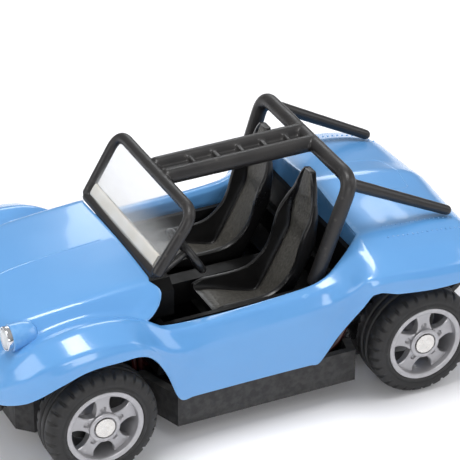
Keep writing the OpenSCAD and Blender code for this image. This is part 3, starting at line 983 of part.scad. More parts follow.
// A second wire beside the first, which meets the board beside it too
function offset_wire(route, d) = [for (i = [0:len(route) - 1]) route[i] + (i == len(route) - 1 ? [d[0], d[1], 0] : d)];
module wire(route) tube(bend(route, 1.6, 3), wire_d, wire_d, 8);
module antenna_wire() color("black") wire(antenna_route);
module motor_leads() color("red") for (d = [[0, 0, 0], [-0.7, 0, 0.7]]) wire(offset_wire(motor_route, d));
module battery_leads() color("red") for (d = [[0, 0, 0], [0, 0.75, 0]]) wire(offset_wire(battery_route, d));

body_shell();
roll_cage();
windscreen();
cockpit_tub();
dashboard();
seat(LEFT);  // seat_left
seat(RIGHT);  // seat_right
steering_wheel();
steering_column();
headlight_bezel(LEFT);  // headlight_bezel_left
headlight_bezel(RIGHT);  // headlight_bezel_right
headlight_lens(LEFT);  // headlight_lens_left
headlight_lens(RIGHT);  // headlight_lens_right
headlight_led(LEFT);  // headlight_led_left
headlight_led(RIGHT);  // headlight_led_right
tail_light(LEFT);  // tail_light_left
tail_light(RIGHT);  // tail_light_right
front_bumper();
rear_bumper();
exhaust_pipes();
chassis_pan();
gearbox_case();
front_beam();
kingpins();
knuckle(LEFT);  // knuckle_left
knuckle(RIGHT);  // knuckle_right
stub_axle(LEFT);  // stub_axle_left
stub_axle(RIGHT);  // stub_axle_right
front_rim(LEFT);  // front_rim_left
front_rim(RIGHT);  // front_rim_right
front_tyre(LEFT);  // front_tyre_left
front_tyre(RIGHT);  // front_tyre_right
tie_rod();
steering_servo();
servo_arm();
trim_knob();
rear_axle();
rear_bushes();
rear_rim(LEFT);  // rear_rim_left
rear_rim(RIGHT);  // rear_rim_right
rear_tyre(LEFT);  // rear_tyre_left
rear_tyre(RIGHT);  // rear_tyre_right
axle_gear();
idler_gear();
idler_pin();
motor_pinion();
motor_can();
motor_shaft();
battery();
receiver_board();
board_chips();
charge_socket();
power_switch_case();
power_switch_slider();
body_screws();
antenna_wire();
motor_leads();
battery_leads();
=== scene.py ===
"""Looks of a micro remote-control beach buggy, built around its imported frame.

Lengths inside the classes are in millimetres, as on the workshop drawing. They become metres only when
a mesh is made. +X points to the nose, +Y to the car's left and +Z up.
"""

import json
import logging
import math
from dataclasses import dataclass, field
from enum import Enum

import bmesh
import bpy
import numpy as np
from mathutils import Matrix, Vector


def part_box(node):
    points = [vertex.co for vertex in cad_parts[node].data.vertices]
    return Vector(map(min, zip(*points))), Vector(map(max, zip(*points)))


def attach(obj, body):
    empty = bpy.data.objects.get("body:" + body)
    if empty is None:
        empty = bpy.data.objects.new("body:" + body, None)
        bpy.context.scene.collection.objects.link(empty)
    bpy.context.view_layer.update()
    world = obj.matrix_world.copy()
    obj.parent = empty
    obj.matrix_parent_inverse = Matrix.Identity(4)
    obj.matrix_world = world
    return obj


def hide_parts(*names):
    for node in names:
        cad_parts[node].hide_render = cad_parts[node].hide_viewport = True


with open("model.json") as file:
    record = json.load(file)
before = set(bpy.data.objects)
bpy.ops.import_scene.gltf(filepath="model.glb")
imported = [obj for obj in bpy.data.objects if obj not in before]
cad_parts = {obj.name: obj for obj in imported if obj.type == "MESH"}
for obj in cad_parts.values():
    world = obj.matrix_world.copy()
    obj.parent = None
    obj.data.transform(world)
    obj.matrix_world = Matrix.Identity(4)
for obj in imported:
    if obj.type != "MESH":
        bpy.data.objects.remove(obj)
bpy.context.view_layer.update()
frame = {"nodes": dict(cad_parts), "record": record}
LOG = logging.getLogger("buggy")
MM = 0.001
LEFT, RIGHT = 1, -1
Array = np.ndarray
Point = tuple[float, float, float]


# ---------- curves and grids ----------
def mix(a: Array, b: Array, t: float | Array) -> Array:
    """Straight blend: a where t is 0 and b where t is 1."""
    return a * (1 - t) + b * t


def smooth(low: float, high: float, x: Array) -> Array:
    """Smooth step from 0 at low to 1 at high: s * s * (3 - 2 s)."""
    s = np.clip((np.asarray(x, float) - low) / (high - low), 0, 1)
    return s * s * (3 - 2 * s)


def curve(table: list[tuple[float, float]], x: Array) -> Array:
    """Smooth curve through a table: cubic Hermite pieces whose slopes join each row's neighbours.

    Args:
        table: rows of (place, value), from low to high place.
        x: the places to read, which are held within the table.

    Returns:
        One value for each place.
    """
    t, x = np.asarray(table, float), np.asarray(x, float)
    slope = np.gradient(t[:, 1], t[:, 0])
    slope[1:-1] = (t[2:, 1] - t[:-2, 1]) / (t[2:, 0] - t[:-2, 0])
    i = np.clip(np.searchsorted(t[:, 0], x, side="left") - 1, 0, len(t) - 2)
    h = t[i + 1, 0] - t[i, 0]
    s = np.clip((x - t[i, 0]) / h, 0, 1)
    s2, s3 = s * s, s * s * s
    return (t[i, 1] * (2 * s3 - 3 * s2 + 1) + t[i + 1, 1] * (3 * s2 - 2 * s3)
            + h * (slope[i] * (s3 - 2 * s2 + s) + slope[i + 1] * (s3 - s2)))


def bump_curve(table: list[tuple[float, float]], x: Array) -> Array:
    """The same curve, and nothing outside the table."""
    inside = (x > table[0][0]) & (x < table[-1][0])
    return np.where(inside, curve(table, x), 0.0)


def unit(v: Array) -> Array:
    """Vectors of length one, along the last axis."""
    return v / np.maximum(np.linalg.norm(v, axis=-1, keepdims=True), 1e-12)


def rounded(keys: Array, shares: list[float], steps: int, runs: int) -> tuple[Array, list[int]]:
    """Outline through key points: each corner is a quadratic curve over a share of its two edges.

    Args:
        keys: sections by key points by 3.
        shares: how far each key point's corner reaches along its edges, 0 at both ends.
        steps: points on each corner.
        runs: points added on each straight run.

    Returns:
        Sections by points by 3, and the index of each corner's first point.
    """
    rows, starts, last = [keys[:, 0]], [0], keys[:, 0]
    for i in range(1, keys.shape[1]):
        end = i == keys.shape[1] - 1
        a = keys[:, i] if end else mix(keys[:, i], keys[:, i - 1], shares[i])
        rows += [mix(last, a, (j + 1) / (runs + 1)) for j in range(runs)]
        starts.append(len(rows))
        if end:
            rows.append(a)
            break
        b = mix(keys[:, i], keys[:, i + 1], shares[i])
        for t in np.linspace(0, 1, steps):
            rows.append(a * (1 - t) ** 2 + 2 * keys[:, i] * t * (1 - t) + b * t * t)
        last = b
    return np.stack(rows, axis=1), starts


def grid_faces(rows: int, columns: int, kept: Array | None = None, wrap: bool = False) -> Array:
    """Quads of a grid whose point (r, c) is number r * columns + c.

    Args:
        rows: number of rows.
        columns: points in a row.
        kept: which cells to keep, or all.
        wrap: joins each row's last point to its first.

    Returns:
        Faces by 4, turning from rows towards columns.
    """
    r, c = np.meshgrid(np.arange(rows - 1), np.arange(columns if wrap else columns - 1), indexing="ij")
    if kept is not None:
        r, c = r[kept], c[kept]
    d = (c + 1) % columns
    here, after = r * columns, (r + 1) * columns
    return np.stack([here + c, after + c, after + d, here + d], axis=-1).reshape(-1, 4)


@dataclass
class Solid:
    """Points and faces of a mesh in the making, in millimetres."""

    points: list[Array] = field(default_factory=list)
    faces: list = field(default_factory=list)
    count: int = 0

    def add(self, points: Array, faces: list | Array) -> "Solid":
        """Adds points, and faces that number them from 0."""
        flat = np.asarray(points, float).reshape(-1, 3)
        self.faces += [[int(i) + self.count for i in face] for face in faces]
        self.points.append(flat)
        self.count += len(flat)
        return self

    def grid(self, points: Array, wrap: bool = False, caps: bool = False) -> "Solid":
        """Adds a grid of rows by columns by 3, closed round its rows if wrap and over its ends if caps."""
        rows, columns = points.shape[:2]
        faces = grid_faces(rows, columns, wrap=wrap).tolist()
        if caps:
            faces += [list(range(columns)), list(range(rows * columns - 1, (rows - 1) * columns - 1, -1))]
        return self.add(points, faces)

    def mirrored(self) -> "Solid":
        """The same solid on the car's other side, with its faces turned to point outwards."""
        other = Solid()
        for block in self.points:
            other.points.append(block * np.array([1, -1, 1]))
        other.faces = [face[::-1] for face in self.faces]
        other.count = self.count
        return other

    def join(self, other: "Solid") -> "Solid":
        """Adds a copy of another solid."""
        return self.add(np.concatenate(other.points), other.faces)


def revolve(profile: list[tuple[float, float]] | Array, sides: int, closed: bool = False) -> Array:
    """Grid of a profile (radius, height) turned about Z: x = r cos a, y = r sin a."""
    p = np.asarray(profile, float)
    if closed:
        p = np.concatenate([p, p[:1]])
    a = np.linspace(0, 2 * math.pi, sides, endpoint=False)
    height = np.repeat(p[:, 1:2], sides, axis=1)
    return np.stack([p[:, :1] * np.cos(a), p[:, :1] * np.sin(a), height], axis=-1)


def turned(profile: list[tuple[float, float]] | Array, sides: int = 64, closed: bool = False) -> Solid:
    """A turned solid about Z, from a profile that is closed, or that starts and ends on the axis."""
    return Solid().grid(revolve(profile, sides, closed), wrap=True)


def place(solid: Solid, axis: Point, at: Point) -> Solid:
    """Stands a solid's own Z along axis, and moves its origin to at."""
    z = unit(np.array(axis, float))
    x = unit(np.cross([0.0, 0.0, 1.0] if abs(z[2]) < 0.9 else [1.0, 0.0, 0.0], z))
    turn = np.stack([x, np.cross(z, x), z])
    solid.points = [block @ turn + np.array(at) for block in solid.points]
    return solid


def bend(points: list[Point] | Array, radius: float, steps: int = 10) -> Array:
    """Path through points, with each corner a quadratic curve that stands for an arc of that radius."""
    p = np.asarray(points, float)
    rows = [p[0]]
    for before, here, after in zip(p[:-2], p[1:-1], p[2:]):
        u, v = unit(before - here), unit(after - here)
        half = math.acos(float(np.clip(u @ v, -1, 1))) / 2
        shorter = min(np.linalg.norm(before - here), np.linalg.norm(after - here))
        reach = min(radius / math.tan(half), 0.48 * shorter)
        a, b = here + u * reach, here + v * reach
        for t in np.linspace(0, 1, steps):
            rows.append(a * (1 - t) ** 2 + 2 * here * t * (1 - t) + b * t * t)
    rows.append(p[-1])
    return np.array(rows)


def tube(path: Array, start_d: float, end_d: float, sides: int = 28, cap: float = 0.35) -> Solid:
    """Round tube carried along a path, with rounded ends.

    The ring at each point lies across the tangent: centre + r (cos a * side + sin a * tangent x side).

    Args:
        path: points by 3.
        start_d: diameter at the first point.
        end_d: diameter at the last point.
        sides: points in a ring.
        cap: radius over which each end is rounded, as a share of the tube's radius.

    Returns:
        A closed solid.
    """
    tangent = unit(np.gradient(path, axis=0))
    length = np.concatenate([[0], np.cumsum(np.linalg.norm(np.diff(path, axis=0), axis=1))])
    r = mix(start_d, end_d, length / length[-1]) / 2
    turn = np.linspace(0, math.pi / 2, 6)
    ends = []
    for at, way, size in ((path[0], -tangent[0], r[0]), (path[-1], tangent[-1], r[-1])):
        out = cap * size * (np.sin(turn) - 1)
        ends.append((at + out[:, None] * way, np.maximum(size * (1 - cap) + cap * size * np.cos(turn), 1e-4)))
    centre = np.concatenate([ends[0][0][::-1], path[1:-1], ends[1][0]])
    radius = np.concatenate([ends[0][1][::-1], r[1:-1], ends[1][1]])
    along = np.concatenate([np.repeat(tangent[:1], 6, 0), tangent[1:-1], np.repeat(tangent[-1:], 6, 0)])
    side = unit(np.array([0.12, 0.35, 1.0]) - along * (along @ np.array([0.12, 0.35, 1.0]))[:, None])
    across = np.cross(along, side)
    a = np.linspace(0, 2 * math.pi, sides, endpoint=False)
    ring = side[:, None] * np.cos(a)[None, :, None] + across[:, None] * np.sin(a)[None, :, None]
    return Solid().grid(centre[:, None] + radius[:, None, None] * ring, wrap=True, caps=True)


def brick(low: Point, high: Point) -> Solid:
    """A plain block between two corners, which a remesh or a bevel finishes."""
    x, y, z = zip(low, high)
    points = [(x[i], y[j], z[k]) for i in (0, 1) for j in (0, 1) for k in (0, 1)]
    faces = [[0, 1, 3, 2], [4, 6, 7, 5], [0, 4, 5, 1], [2, 3, 7, 6], [0, 2, 6, 4], [1, 5, 7, 3]]
    return Solid().add(points, faces)


class Edge(Enum):
    """How a piece's edges are finished after its surface is worked out."""

    AS_MADE = "as made"
    SKIN = "skin with a wall"
    MOULDED = "one moulding with filled corners"


def make_piece(name: str, solid: Solid, body: str, slot: str, nodes: tuple[str, ...] = (),
               edge: Edge = Edge.AS_MADE, amount: float = 0.0, sharp: float = 40.0,
               mask: Array | None = None) -> bpy.types.Object:
    """Makes a solid into an object that rides on a body and stands for CAD nodes.

    Args:
        name: the piece's name.
        solid: its points and faces.
        body: the body it moves with.
        slot: the record's material slot.
        nodes: the CAD nodes it stands for.
        edge: how its edges are finished.
        amount: the wall of a skin, or the cell of a moulding's remesh, in millimetres.
        sharp: faces that meet at more than this many degrees keep a crisp edge.
        mask: a value for each point, kept as the attribute "mask".

    Returns:
        The object, at the origin.
    """
    mesh = bpy.data.meshes.new(name)
    mesh.from_pydata((np.concatenate(solid.points) * MM).tolist(), [], solid.faces)
    if mask is not None:
        mesh.attributes.new("mask", "FLOAT", "POINT").data.foreach_set("value", np.asarray(mask, np.float32))
    piece = bpy.data.objects.new(name, mesh)
    bpy.context.scene.collection.objects.link(piece)
    form = bmesh.new()
    form.from_mesh(mesh)
    bmesh.ops.remove_doubles(form, verts=form.verts, dist=1e-7)
    bmesh.ops.dissolve_degenerate(form, edges=form.edges, dist=1e-8)
    if edge is not Edge.SKIN:
        bmesh.ops.recalc_face_normals(form, faces=form.faces)
    form.to_mesh(mesh)
    form.free()
    if edge is Edge.SKIN:
        wall = piece.modifiers.new("wall", "SOLIDIFY")
        wall.thickness, wall.offset, wall.use_even_offset = amount * MM, -1, False
        rim = piece.modifiers.new("rim", "BEVEL")
        rim.width, rim.segments, rim.limit_method, rim.angle_limit = 0.16 * MM, 2, "ANGLE", math.radians(65)
    if edge is Edge.MOULDED:
        remesh = piece.modifiers.new("moulding", "REMESH")
        remesh.mode, remesh.voxel_size, remesh.use_smooth_shade = "VOXEL", amount * MM, True
        relax = piece.modifiers.new("relax", "SMOOTH")
        relax.factor, relax.iterations = 0.5, 4
    if piece.modifiers:
        done = piece.evaluated_get(bpy.context.evaluated_depsgraph_get())
        piece.data = bpy.data.meshes.new_from_object(done)
        piece.modifiers.clear()
    piece.data.polygons.foreach_set("use_smooth", np.ones(len(piece.data.polygons), bool))
    piece.data.set_sharp_from_angle(angle=math.radians(sharp))
    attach(piece, body)
    if nodes:
        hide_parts(*nodes)
    piece.data.materials.append(MATERIALS[slot])
    LOG.info("%s: %d faces, rides on %s", name, len(piece.data.polygons), body)
    return piece




# ---------- finishes ----------
def shade(red: int, green: int, blue: int) -> tuple[float, float, float, float]:
    """Colour from display values of 0 to 255, as the shader's linear values."""
    return tuple(v / 12.92 if v <= 0.04045 else ((v + 0.055) / 1.055) ** 2.4
                 for v in (red / 255, green / 255, blue / 255)) + (1.0,)


class Grain(Enum):
    """The small relief that a mould, a brush or a tool leaves on a surface."""

    PEEL = "soft ripple of sprayed lacquer"
    SPARK = "pebbled texture of a spark-eroded mould"
    SATIN = "fine even mist"
    BRUSHED = "lines along the car"


@dataclass(frozen=True)
class Finish:
    """One finish: its colours, gloss and relief. Sizes are in millimetres."""

    colour: tuple[int, int, int]
    second: tuple[int, int, int]
    roughness: float = 0.5
    spread: float = 0.06
    cloud: float = 5.0
    blend: float = 0.35
    grain: Grain = Grain.SATIN
    grain_size: float = 0.2
    grain_depth: float = 0.004
    metallic: float = 0.0
    coat: float = 0.0
    coat_roughness: float = 0.08
    specular: float = 0.5
    # Share of the extra colour on outward edges: a painted highlight on the body paint, rubbed wear on the
    # other finishes. With masked set, that colour is laid where the mask is instead: a painted sheen on the
    # seat cushions, a cream haze on the screen.
    edge_wear_and_highlight: float = 0.0
    wear_haze_and_highlight_colour: tuple[int, int, int] = (150, 150, 152)
    dust: float = 0.0
    masked: bool = False
    glass: float = 0.0


class NodeBench:
    """Places and links the nodes of one tree."""

    def __init__(self, tree: bpy.types.NodeTree) -> None:
        """Keeps the tree and starts at its left."""
        self.tree, self.x = tree, -1200

    def add(self, kind: str, inputs: dict | None = None, **settings: object) -> bpy.types.Node:
        """Adds a node.

        Args:
            kind: the node's type name.
            inputs: socket name or number to a value, or to the output socket that feeds it.
            **settings: the node's own properties.

        Returns:
            The node.
        """
        node = self.tree.nodes.new(kind)
        node.location = (self.x, 0)
        self.x += 160
        for name, value in settings.items():
            setattr(node, name, value)
        for key, value in (inputs or {}).items():
            if isinstance(value, bpy.types.NodeSocket):
                self.tree.links.new(value, node.inputs[key])
            else:
                node.inputs[key].default_value = value
        return node

    def math(self, operation: str, a: object, b: object = 0.0, c: object = 0.0,
             clamp: bool = False) -> bpy.types.NodeSocket:
        """Output of a Math node."""
        return self.add("ShaderNodeMath", {0: a, 1: b, 2: c}, operation=operation, use_clamp=clamp).outputs[0]

    def blend(self, share: object, a: object, b: object) -> bpy.types.NodeSocket:
        """Colour that goes from a to b as share goes from 0 to 1."""
        node = self.add("ShaderNodeMix", data_type="RGBA")
        for socket, value in ((node.inputs[0], share), (node.inputs[6], a), (node.inputs[7], b)):
            if isinstance(value, bpy.types.NodeSocket):
                self.tree.links.new(value, socket)
            else:
                socket.default_value = value
        return node.outputs[2]


def new_group(name: str, inputs: dict[str, tuple[str, object]], outputs: dict[str, str]) -> tuple:
    """Starts a shader node group with named sockets.

    Args:
        name: the group's name.
        inputs: socket name to (kind, default value), kind being Float or Vector.
        outputs: socket name to kind.

    Returns:
        The group's bench, its input node and its output node.
    """
    tree = bpy.data.node_groups.new(name, "ShaderNodeTree")
    for label, (kind, default) in inputs.items():
        socket = tree.interface.new_socket(label, in_out="INPUT", socket_type=f"NodeSocket{kind}")
        if default is not None:
            socket.default_value = default
    for label, kind in outputs.items():
        tree.interface.new_socket(label, in_out="OUTPUT", socket_type=f"NodeSocket{kind}")
    bench = NodeBench(tree)
    return bench, bench.add("NodeGroupInput"), bench.add("NodeGroupOutput")


def cloud_group() -> bpy.types.NodeTree:
    """Slow change of tone over a surface: two octaves of noise, pulled towards 0 and 1."""
    bench, into, out = new_group("slow_tone", {"Vector": ("Vector", None), "Scale": ("Float", 200.0)},
                                 {"Mask": "Float"})
    noise = bench.add("ShaderNodeTexNoise", {"Vector": into.outputs["Vector"], "Scale": into.outputs["Scale"],
                                             "Detail": 4.0, "Roughness": 0.55})
    mask = bench.add("ShaderNodeMapRange", {0: noise.outputs[0], 1: 0.32, 2: 0.68},
                     interpolation_type="SMOOTHSTEP")
    bench.tree.links.new(mask.outputs[0], out.inputs["Mask"])
    return bench.tree


def grain_group(grain: Grain) -> bpy.types.NodeTree:
    """Height of one kind of fine relief, from 0 to 1."""
    sockets = {"Vector": ("Vector", None), "Scale": ("Float", 5000.0)}
    bench, into, out = new_group(f"relief_{grain.name.lower()}", sockets, {"Height": "Float"})
    vector, scale = into.outputs["Vector"], into.outputs["Scale"]
    if grain is Grain.BRUSHED:
        vector = bench.add("ShaderNodeMapping", {"Vector": vector, "Scale": (0.04, 1.0, 1.0)}).outputs[0]
    if grain is Grain.SPARK:
        cells = bench.add("ShaderNodeTexVoronoi", {"Vector": vector, "Scale": scale}, feature="SMOOTH_F1")
        noise = bench.add("ShaderNodeTexNoise", {"Vector": vector, "Scale": scale, "Detail": 3.0})
        height = bench.math("MULTIPLY_ADD", cells.outputs["Distance"], 0.8, noise.outputs[0])
        height = bench.math("MULTIPLY", height, 0.6)
    else:
        detail = {Grain.PEEL: 0.5, Grain.SATIN: 5.0, Grain.BRUSHED: 3.0}[grain]
        noise = bench.add("ShaderNodeTexNoise", {"Vector": vector, "Scale": scale, "Detail": detail})
        height = noise.outputs[0]
    bench.tree.links.new(height, out.inputs["Height"])
    return bench.tree


def edge_wear_and_highlight_group() -> bpy.types.NodeTree:
    """Edges where the surface turns outwards, broken up by noise: a painted highlight along the body paint's
    rims, rubbed wear on the other finishes.
    """
    bench, into, out = new_group("edges_worn_and_highlighted", {"Vector": ("Vector", None), "Amount": ("Float", 0.5)},
                                 {"Mask": "Float"})
    point = bench.add("ShaderNodeNewGeometry").outputs["Pointiness"]
    ridge = bench.add("ShaderNodeMapRange", {0: point, 1: 0.515, 2: 0.60}).outputs[0]
    noise = bench.add("ShaderNodeTexNoise", {"Vector": into.outputs["Vector"], "Scale": 1400.0,
                                             "Detail": 4.0})
    broken = bench.add("ShaderNodeMapRange", {0: noise.outputs[0], 1: 0.38, 2: 0.62}).outputs[0]
    mask = bench.math("MULTIPLY", bench.math("MULTIPLY", ridge, broken), into.outputs["Amount"], clamp=True)
    bench.tree.links.new(mask, out.inputs["Mask"])
    return bench.tree


def dust_group() -> bpy.types.NodeTree:
    """Dust that settles on faces that look up, in soft patches."""
    bench, into, out = new_group("settled_dust", {"Vector": ("Vector", None), "Amount": ("Float", 0.1)},
                                 {"Mask": "Float"})
    normal = bench.add("ShaderNodeNewGeometry").outputs["Normal"]
    up = bench.add("ShaderNodeSeparateXYZ", {0: normal}).outputs["Z"]
    top = bench.add("ShaderNodeMapRange", {0: up, 1: 0.2, 2: 0.95}).outputs[0]
    patch = bench.add("ShaderNodeTexNoise", {"Vector": into.outputs["Vector"], "Scale": 700.0, "Detail": 5.0})
    settled = bench.math("MULTIPLY", top, patch.outputs[0])
    mask = bench.math("MULTIPLY", settled, into.outputs["Amount"], clamp=True)
    bench.tree.links.new(mask, out.inputs["Mask"])
    return bench.tree


class FinishShop:
    """Builds each finish once as a material, from shared groups."""

    def __init__(self) -> None:
        """Builds the groups."""
        self.cloud, self.edge_wear_and_highlight, self.dust = cloud_group(), edge_wear_and_highlight_group(), dust_group()
        self.grains = {grain: grain_group(grain) for grain in Grain}

    def placed(self, bench: NodeBench, tree: bpy.types.NodeTree, **inputs: object) -> bpy.types.NodeSocket:
        """Places a group and returns its one output."""
        node = bench.add("ShaderNodeGroup", node_tree=tree)
        for name, value in inputs.items():
            if isinstance(value, bpy.types.NodeSocket):
                bench.tree.links.new(value, node.inputs[name])
            else:
                node.inputs[name].default_value = value
        return node.outputs[0]

    def make(self, name: str, finish: Finish) -> bpy.types.Material:
        """Builds a material.

        Args:
            name: the record's slot that it dresses.
            finish: its values.

        Returns:
            The material, on Object coordinates.
        """
        material = bpy.data.materials.new(name)
        material.use_nodes = True
        bench = NodeBench(material.node_tree)
        shader = next(n for n in material.node_tree.nodes if n.type == "BSDF_PRINCIPLED")
        at = bench.add("ShaderNodeTexCoord").outputs["Object"]
        tone = self.placed(bench, self.cloud, Vector=at, Scale=1 / (finish.cloud * MM))
        share = bench.math("MULTIPLY", tone, finish.blend)
        colour = bench.blend(share, shade(*finish.colour), shade(*finish.second))
        height = self.placed(bench, self.grains[finish.grain], Vector=at, Scale=1 / (finish.grain_size * MM))
        rough = bench.math("MULTIPLY_ADD", tone, 2 * finish.spread, finish.roughness - finish.spread)
        if finish.masked:
            # The mask lays the finish's extra colour over the grain: a painted sheen of light on the seat
            # cushions, and a cream haze towards the screen's foot.
            mask = bench.add("ShaderNodeAttribute", attribute_name="mask").outputs["Fac"]
            haze_and_painted_sheen = bench.math("MULTIPLY", mask, bench.math("MULTIPLY_ADD", height, 0.9, 0.25), clamp=True)
            colour = bench.blend(haze_and_painted_sheen, colour, shade(*finish.wear_haze_and_highlight_colour))
            height = bench.math("MULTIPLY", height, bench.math("MULTIPLY_ADD", mask, 0.88, 0.12))
            rough = bench.math("MULTIPLY_ADD", mask, 0.14, rough)
            clear = bench.math("MULTIPLY_ADD", mask, -0.7 * finish.glass, finish.glass)
        # Outward edges take the extra colour: a painted highlight on the body paint, rubbed wear elsewhere.
        elif finish.edge_wear_and_highlight:
            edge = self.placed(bench, self.edge_wear_and_highlight, Vector=at, Amount=finish.edge_wear_and_highlight)
            colour = bench.blend(edge, colour, shade(*finish.wear_haze_and_highlight_colour))
        if finish.dust:
            fallen = self.placed(bench, self.dust, Vector=at, Amount=finish.dust)
            colour = bench.blend(fallen, colour, shade(196, 192, 186))
            rough = bench.math("MULTIPLY_ADD", fallen, 0.3, rough, clamp=True)
        bump = bench.add("ShaderNodeBump", {"Height": height, "Strength": 1.0,
                                            "Distance": finish.grain_depth * MM})
        links = material.node_tree.links
        links.new(colour, shader.inputs["Base Color"])
        links.new(rough, shader.inputs["Roughness"])
        links.new(bump.outputs[0], shader.inputs["Normal"])
        constants = {"Metallic": finish.metallic, "Coat Weight": finish.coat,
                     "Coat Roughness": finish.coat_roughness, "Specular IOR Level": finish.specular,
                     "Transmission Weight": finish.glass, "IOR": 1.45}
        for socket, value in constants.items():
            shader.inputs[socket].default_value = value
        if finish.masked and finish.glass:
            links.new(clear, shader.inputs["Transmission Weight"])
        return material


FINISHES = {
    # The body paint's pale blue edges are a painted highlight along its rims.
    "body_paint": Finish((92, 150, 207), (98, 156, 212), 0.22, 0.02, 9.0, 0.5, Grain.PEEL, 0.8, 0.0016,
        coat=0.5, coat_roughness=0.05, specular=0.55, edge_wear_and_highlight=0.25, wear_haze_and_highlight_colour=(168, 206, 240)),
    "cage_black": Finish((30, 29, 30), (40, 38, 37), 0.4, 0.05, 3.0, 0.6, Grain.SPARK, 0.2, 0.02, edge_wear_and_highlight=0.3,
        wear_haze_and_highlight_colour=(96, 92, 88)),
    "screen_clear": Finish((246, 248, 250), (250, 251, 252), 0.04, 0.01, 12.0, 0.3, Grain.PEEL, 2.5, 0.001,
        glass=1.0, masked=True, wear_haze_and_highlight_colour=(226, 222, 212)),
    "cabin_black": Finish((12, 12, 13), (17, 17, 17), 0.5, 0.06, 3.0, 0.6, Grain.SPARK, 0.15, 0.008,
        specular=0.18),
    # The seats' lighter grey, laid on the cushions by their mask, is a painted sheen of light on the pebbled
    # surface.
    "seat_black": Finish((17, 17, 18), (23, 22, 22), 0.32, 0.05, 2.5, 0.5, Grain.SPARK, 0.34, 0.09,
        masked=True, wear_haze_and_highlight_colour=(84, 82, 77)),
    "steering_black": Finish((27, 27, 28), (34, 34, 35), 0.3, 0.05, 1.5, 0.5, Grain.SATIN, 0.1, 0.002,
        edge_wear_and_highlight=0.3, wear_haze_and_highlight_colour=(80, 78, 76)),
    "lamp_silver": Finish((214, 216, 220), (196, 199, 204), 0.12, 0.04, 1.0, 0.5, Grain.SATIN, 0.2, 0.001,
        metallic=1.0),
    "lamp_clear": Finish((244, 247, 250), (232, 238, 244), 0.06, 0.02, 1.5, 0.4, Grain.PEEL, 0.4, 0.006,
        glass=0.55),
    "led_white": Finish((246, 240, 214), (252, 250, 236), 0.28, 0.04, 0.8, 0.5, Grain.SATIN, 0.1, 0.001,
        coat=0.4),
    "lamp_red": Finish((150, 12, 16), (186, 24, 22), 0.14, 0.03, 0.9, 0.6, Grain.PEEL, 0.3, 0.004, coat=0.7,
        glass=0.25),
    "bumper_black": Finish((34, 34, 35), (44, 43, 43), 0.45, 0.06, 2.5, 0.6, Grain.SPARK, 0.15, 0.006,
        edge_wear_and_highlight=0.35, wear_haze_and_highlight_colour=(92, 90, 88), dust=0.08),
    "exhaust_silver": Finish((200, 201, 204), (168, 166, 162), 0.2, 0.06, 1.2, 0.6, Grain.BRUSHED, 0.08,
        0.001, metallic=1.0),
    "chassis_black": Finish((31, 31, 32), (42, 41, 41), 0.55, 0.08, 2.5, 0.6, Grain.SPARK, 0.18, 0.008,
        edge_wear_and_highlight=0.3, wear_haze_and_highlight_colour=(78, 77, 76), dust=0.12),
    "pin_steel": Finish((214, 211, 206), (190, 188, 186), 0.26, 0.07, 0.7, 0.5, Grain.BRUSHED, 0.06, 0.0012,
        metallic=0.9, edge_wear_and_highlight=0.2, wear_haze_and_highlight_colour=(236, 235, 232)),
    "bush_brass": Finish((190, 150, 82), (164, 122, 60), 0.3, 0.08, 0.8, 0.6, Grain.BRUSHED, 0.05, 0.001,
        metallic=1.0),
    "rim_silver": Finish((160, 159, 162), (172, 171, 174), 0.34, 0.04, 1.6, 0.5, Grain.SATIN, 0.06, 0.0012,
        metallic=0.45, coat=0.25, coat_roughness=0.2, edge_wear_and_highlight=0.25, wear_haze_and_highlight_colour=(222, 221, 222)),
    "tyre_black": Finish((24, 24, 25), (34, 33, 33), 0.55, 0.08, 1.8, 0.6, Grain.SATIN, 0.1, 0.006, edge_wear_and_highlight=0.4,
        wear_haze_and_highlight_colour=(70, 69, 68), dust=0.06),
    "gear_white": Finish((226, 222, 208), (212, 206, 190), 0.45, 0.05, 1.5, 0.5, Grain.SATIN, 0.1, 0.002),
    "motor_steel": Finish((186, 187, 190), (160, 161, 165), 0.28, 0.08, 1.6, 0.5, Grain.BRUSHED, 0.06,
        0.001, metallic=1.0),
    "servo_black": Finish((38, 42, 56), (46, 50, 64), 0.46, 0.05, 2.0, 0.5, Grain.SPARK, 0.12, 0.004),
    "cell_foil": Finish((196, 198, 202), (176, 179, 184), 0.34, 0.1, 1.6, 0.6, Grain.SATIN, 0.4, 0.02,
        metallic=0.5),
    "board_green": Finish((18, 92, 58), (28, 112, 70), 0.3, 0.06, 0.5, 0.8, Grain.SATIN, 0.2, 0.003,
        coat=0.4),
    "chip_black": Finish((30, 30, 32), (42, 42, 44), 0.5, 0.08, 0.6, 0.6, Grain.SPARK, 0.08, 0.002),
    "socket_white": Finish((232, 228, 216), (218, 214, 200), 0.42, 0.05, 1.0, 0.5, Grain.SATIN, 0.1, 0.002),
    "switch_black": Finish((30, 30, 31), (40, 40, 41), 0.46, 0.06, 1.0, 0.5, Grain.SPARK, 0.12, 0.004,
        edge_wear_and_highlight=0.3),
    "wire_red": Finish((58, 12, 12), (44, 9, 9), 0.4, 0.06, 1.2, 0.5, Grain.SATIN, 0.12, 0.003),
    "wire_grey": Finish((74, 75, 78), (60, 60, 63), 0.42, 0.06, 1.2, 0.5, Grain.SATIN, 0.12, 0.003),
}
MATERIALS: dict[str, bpy.types.Material] = {}


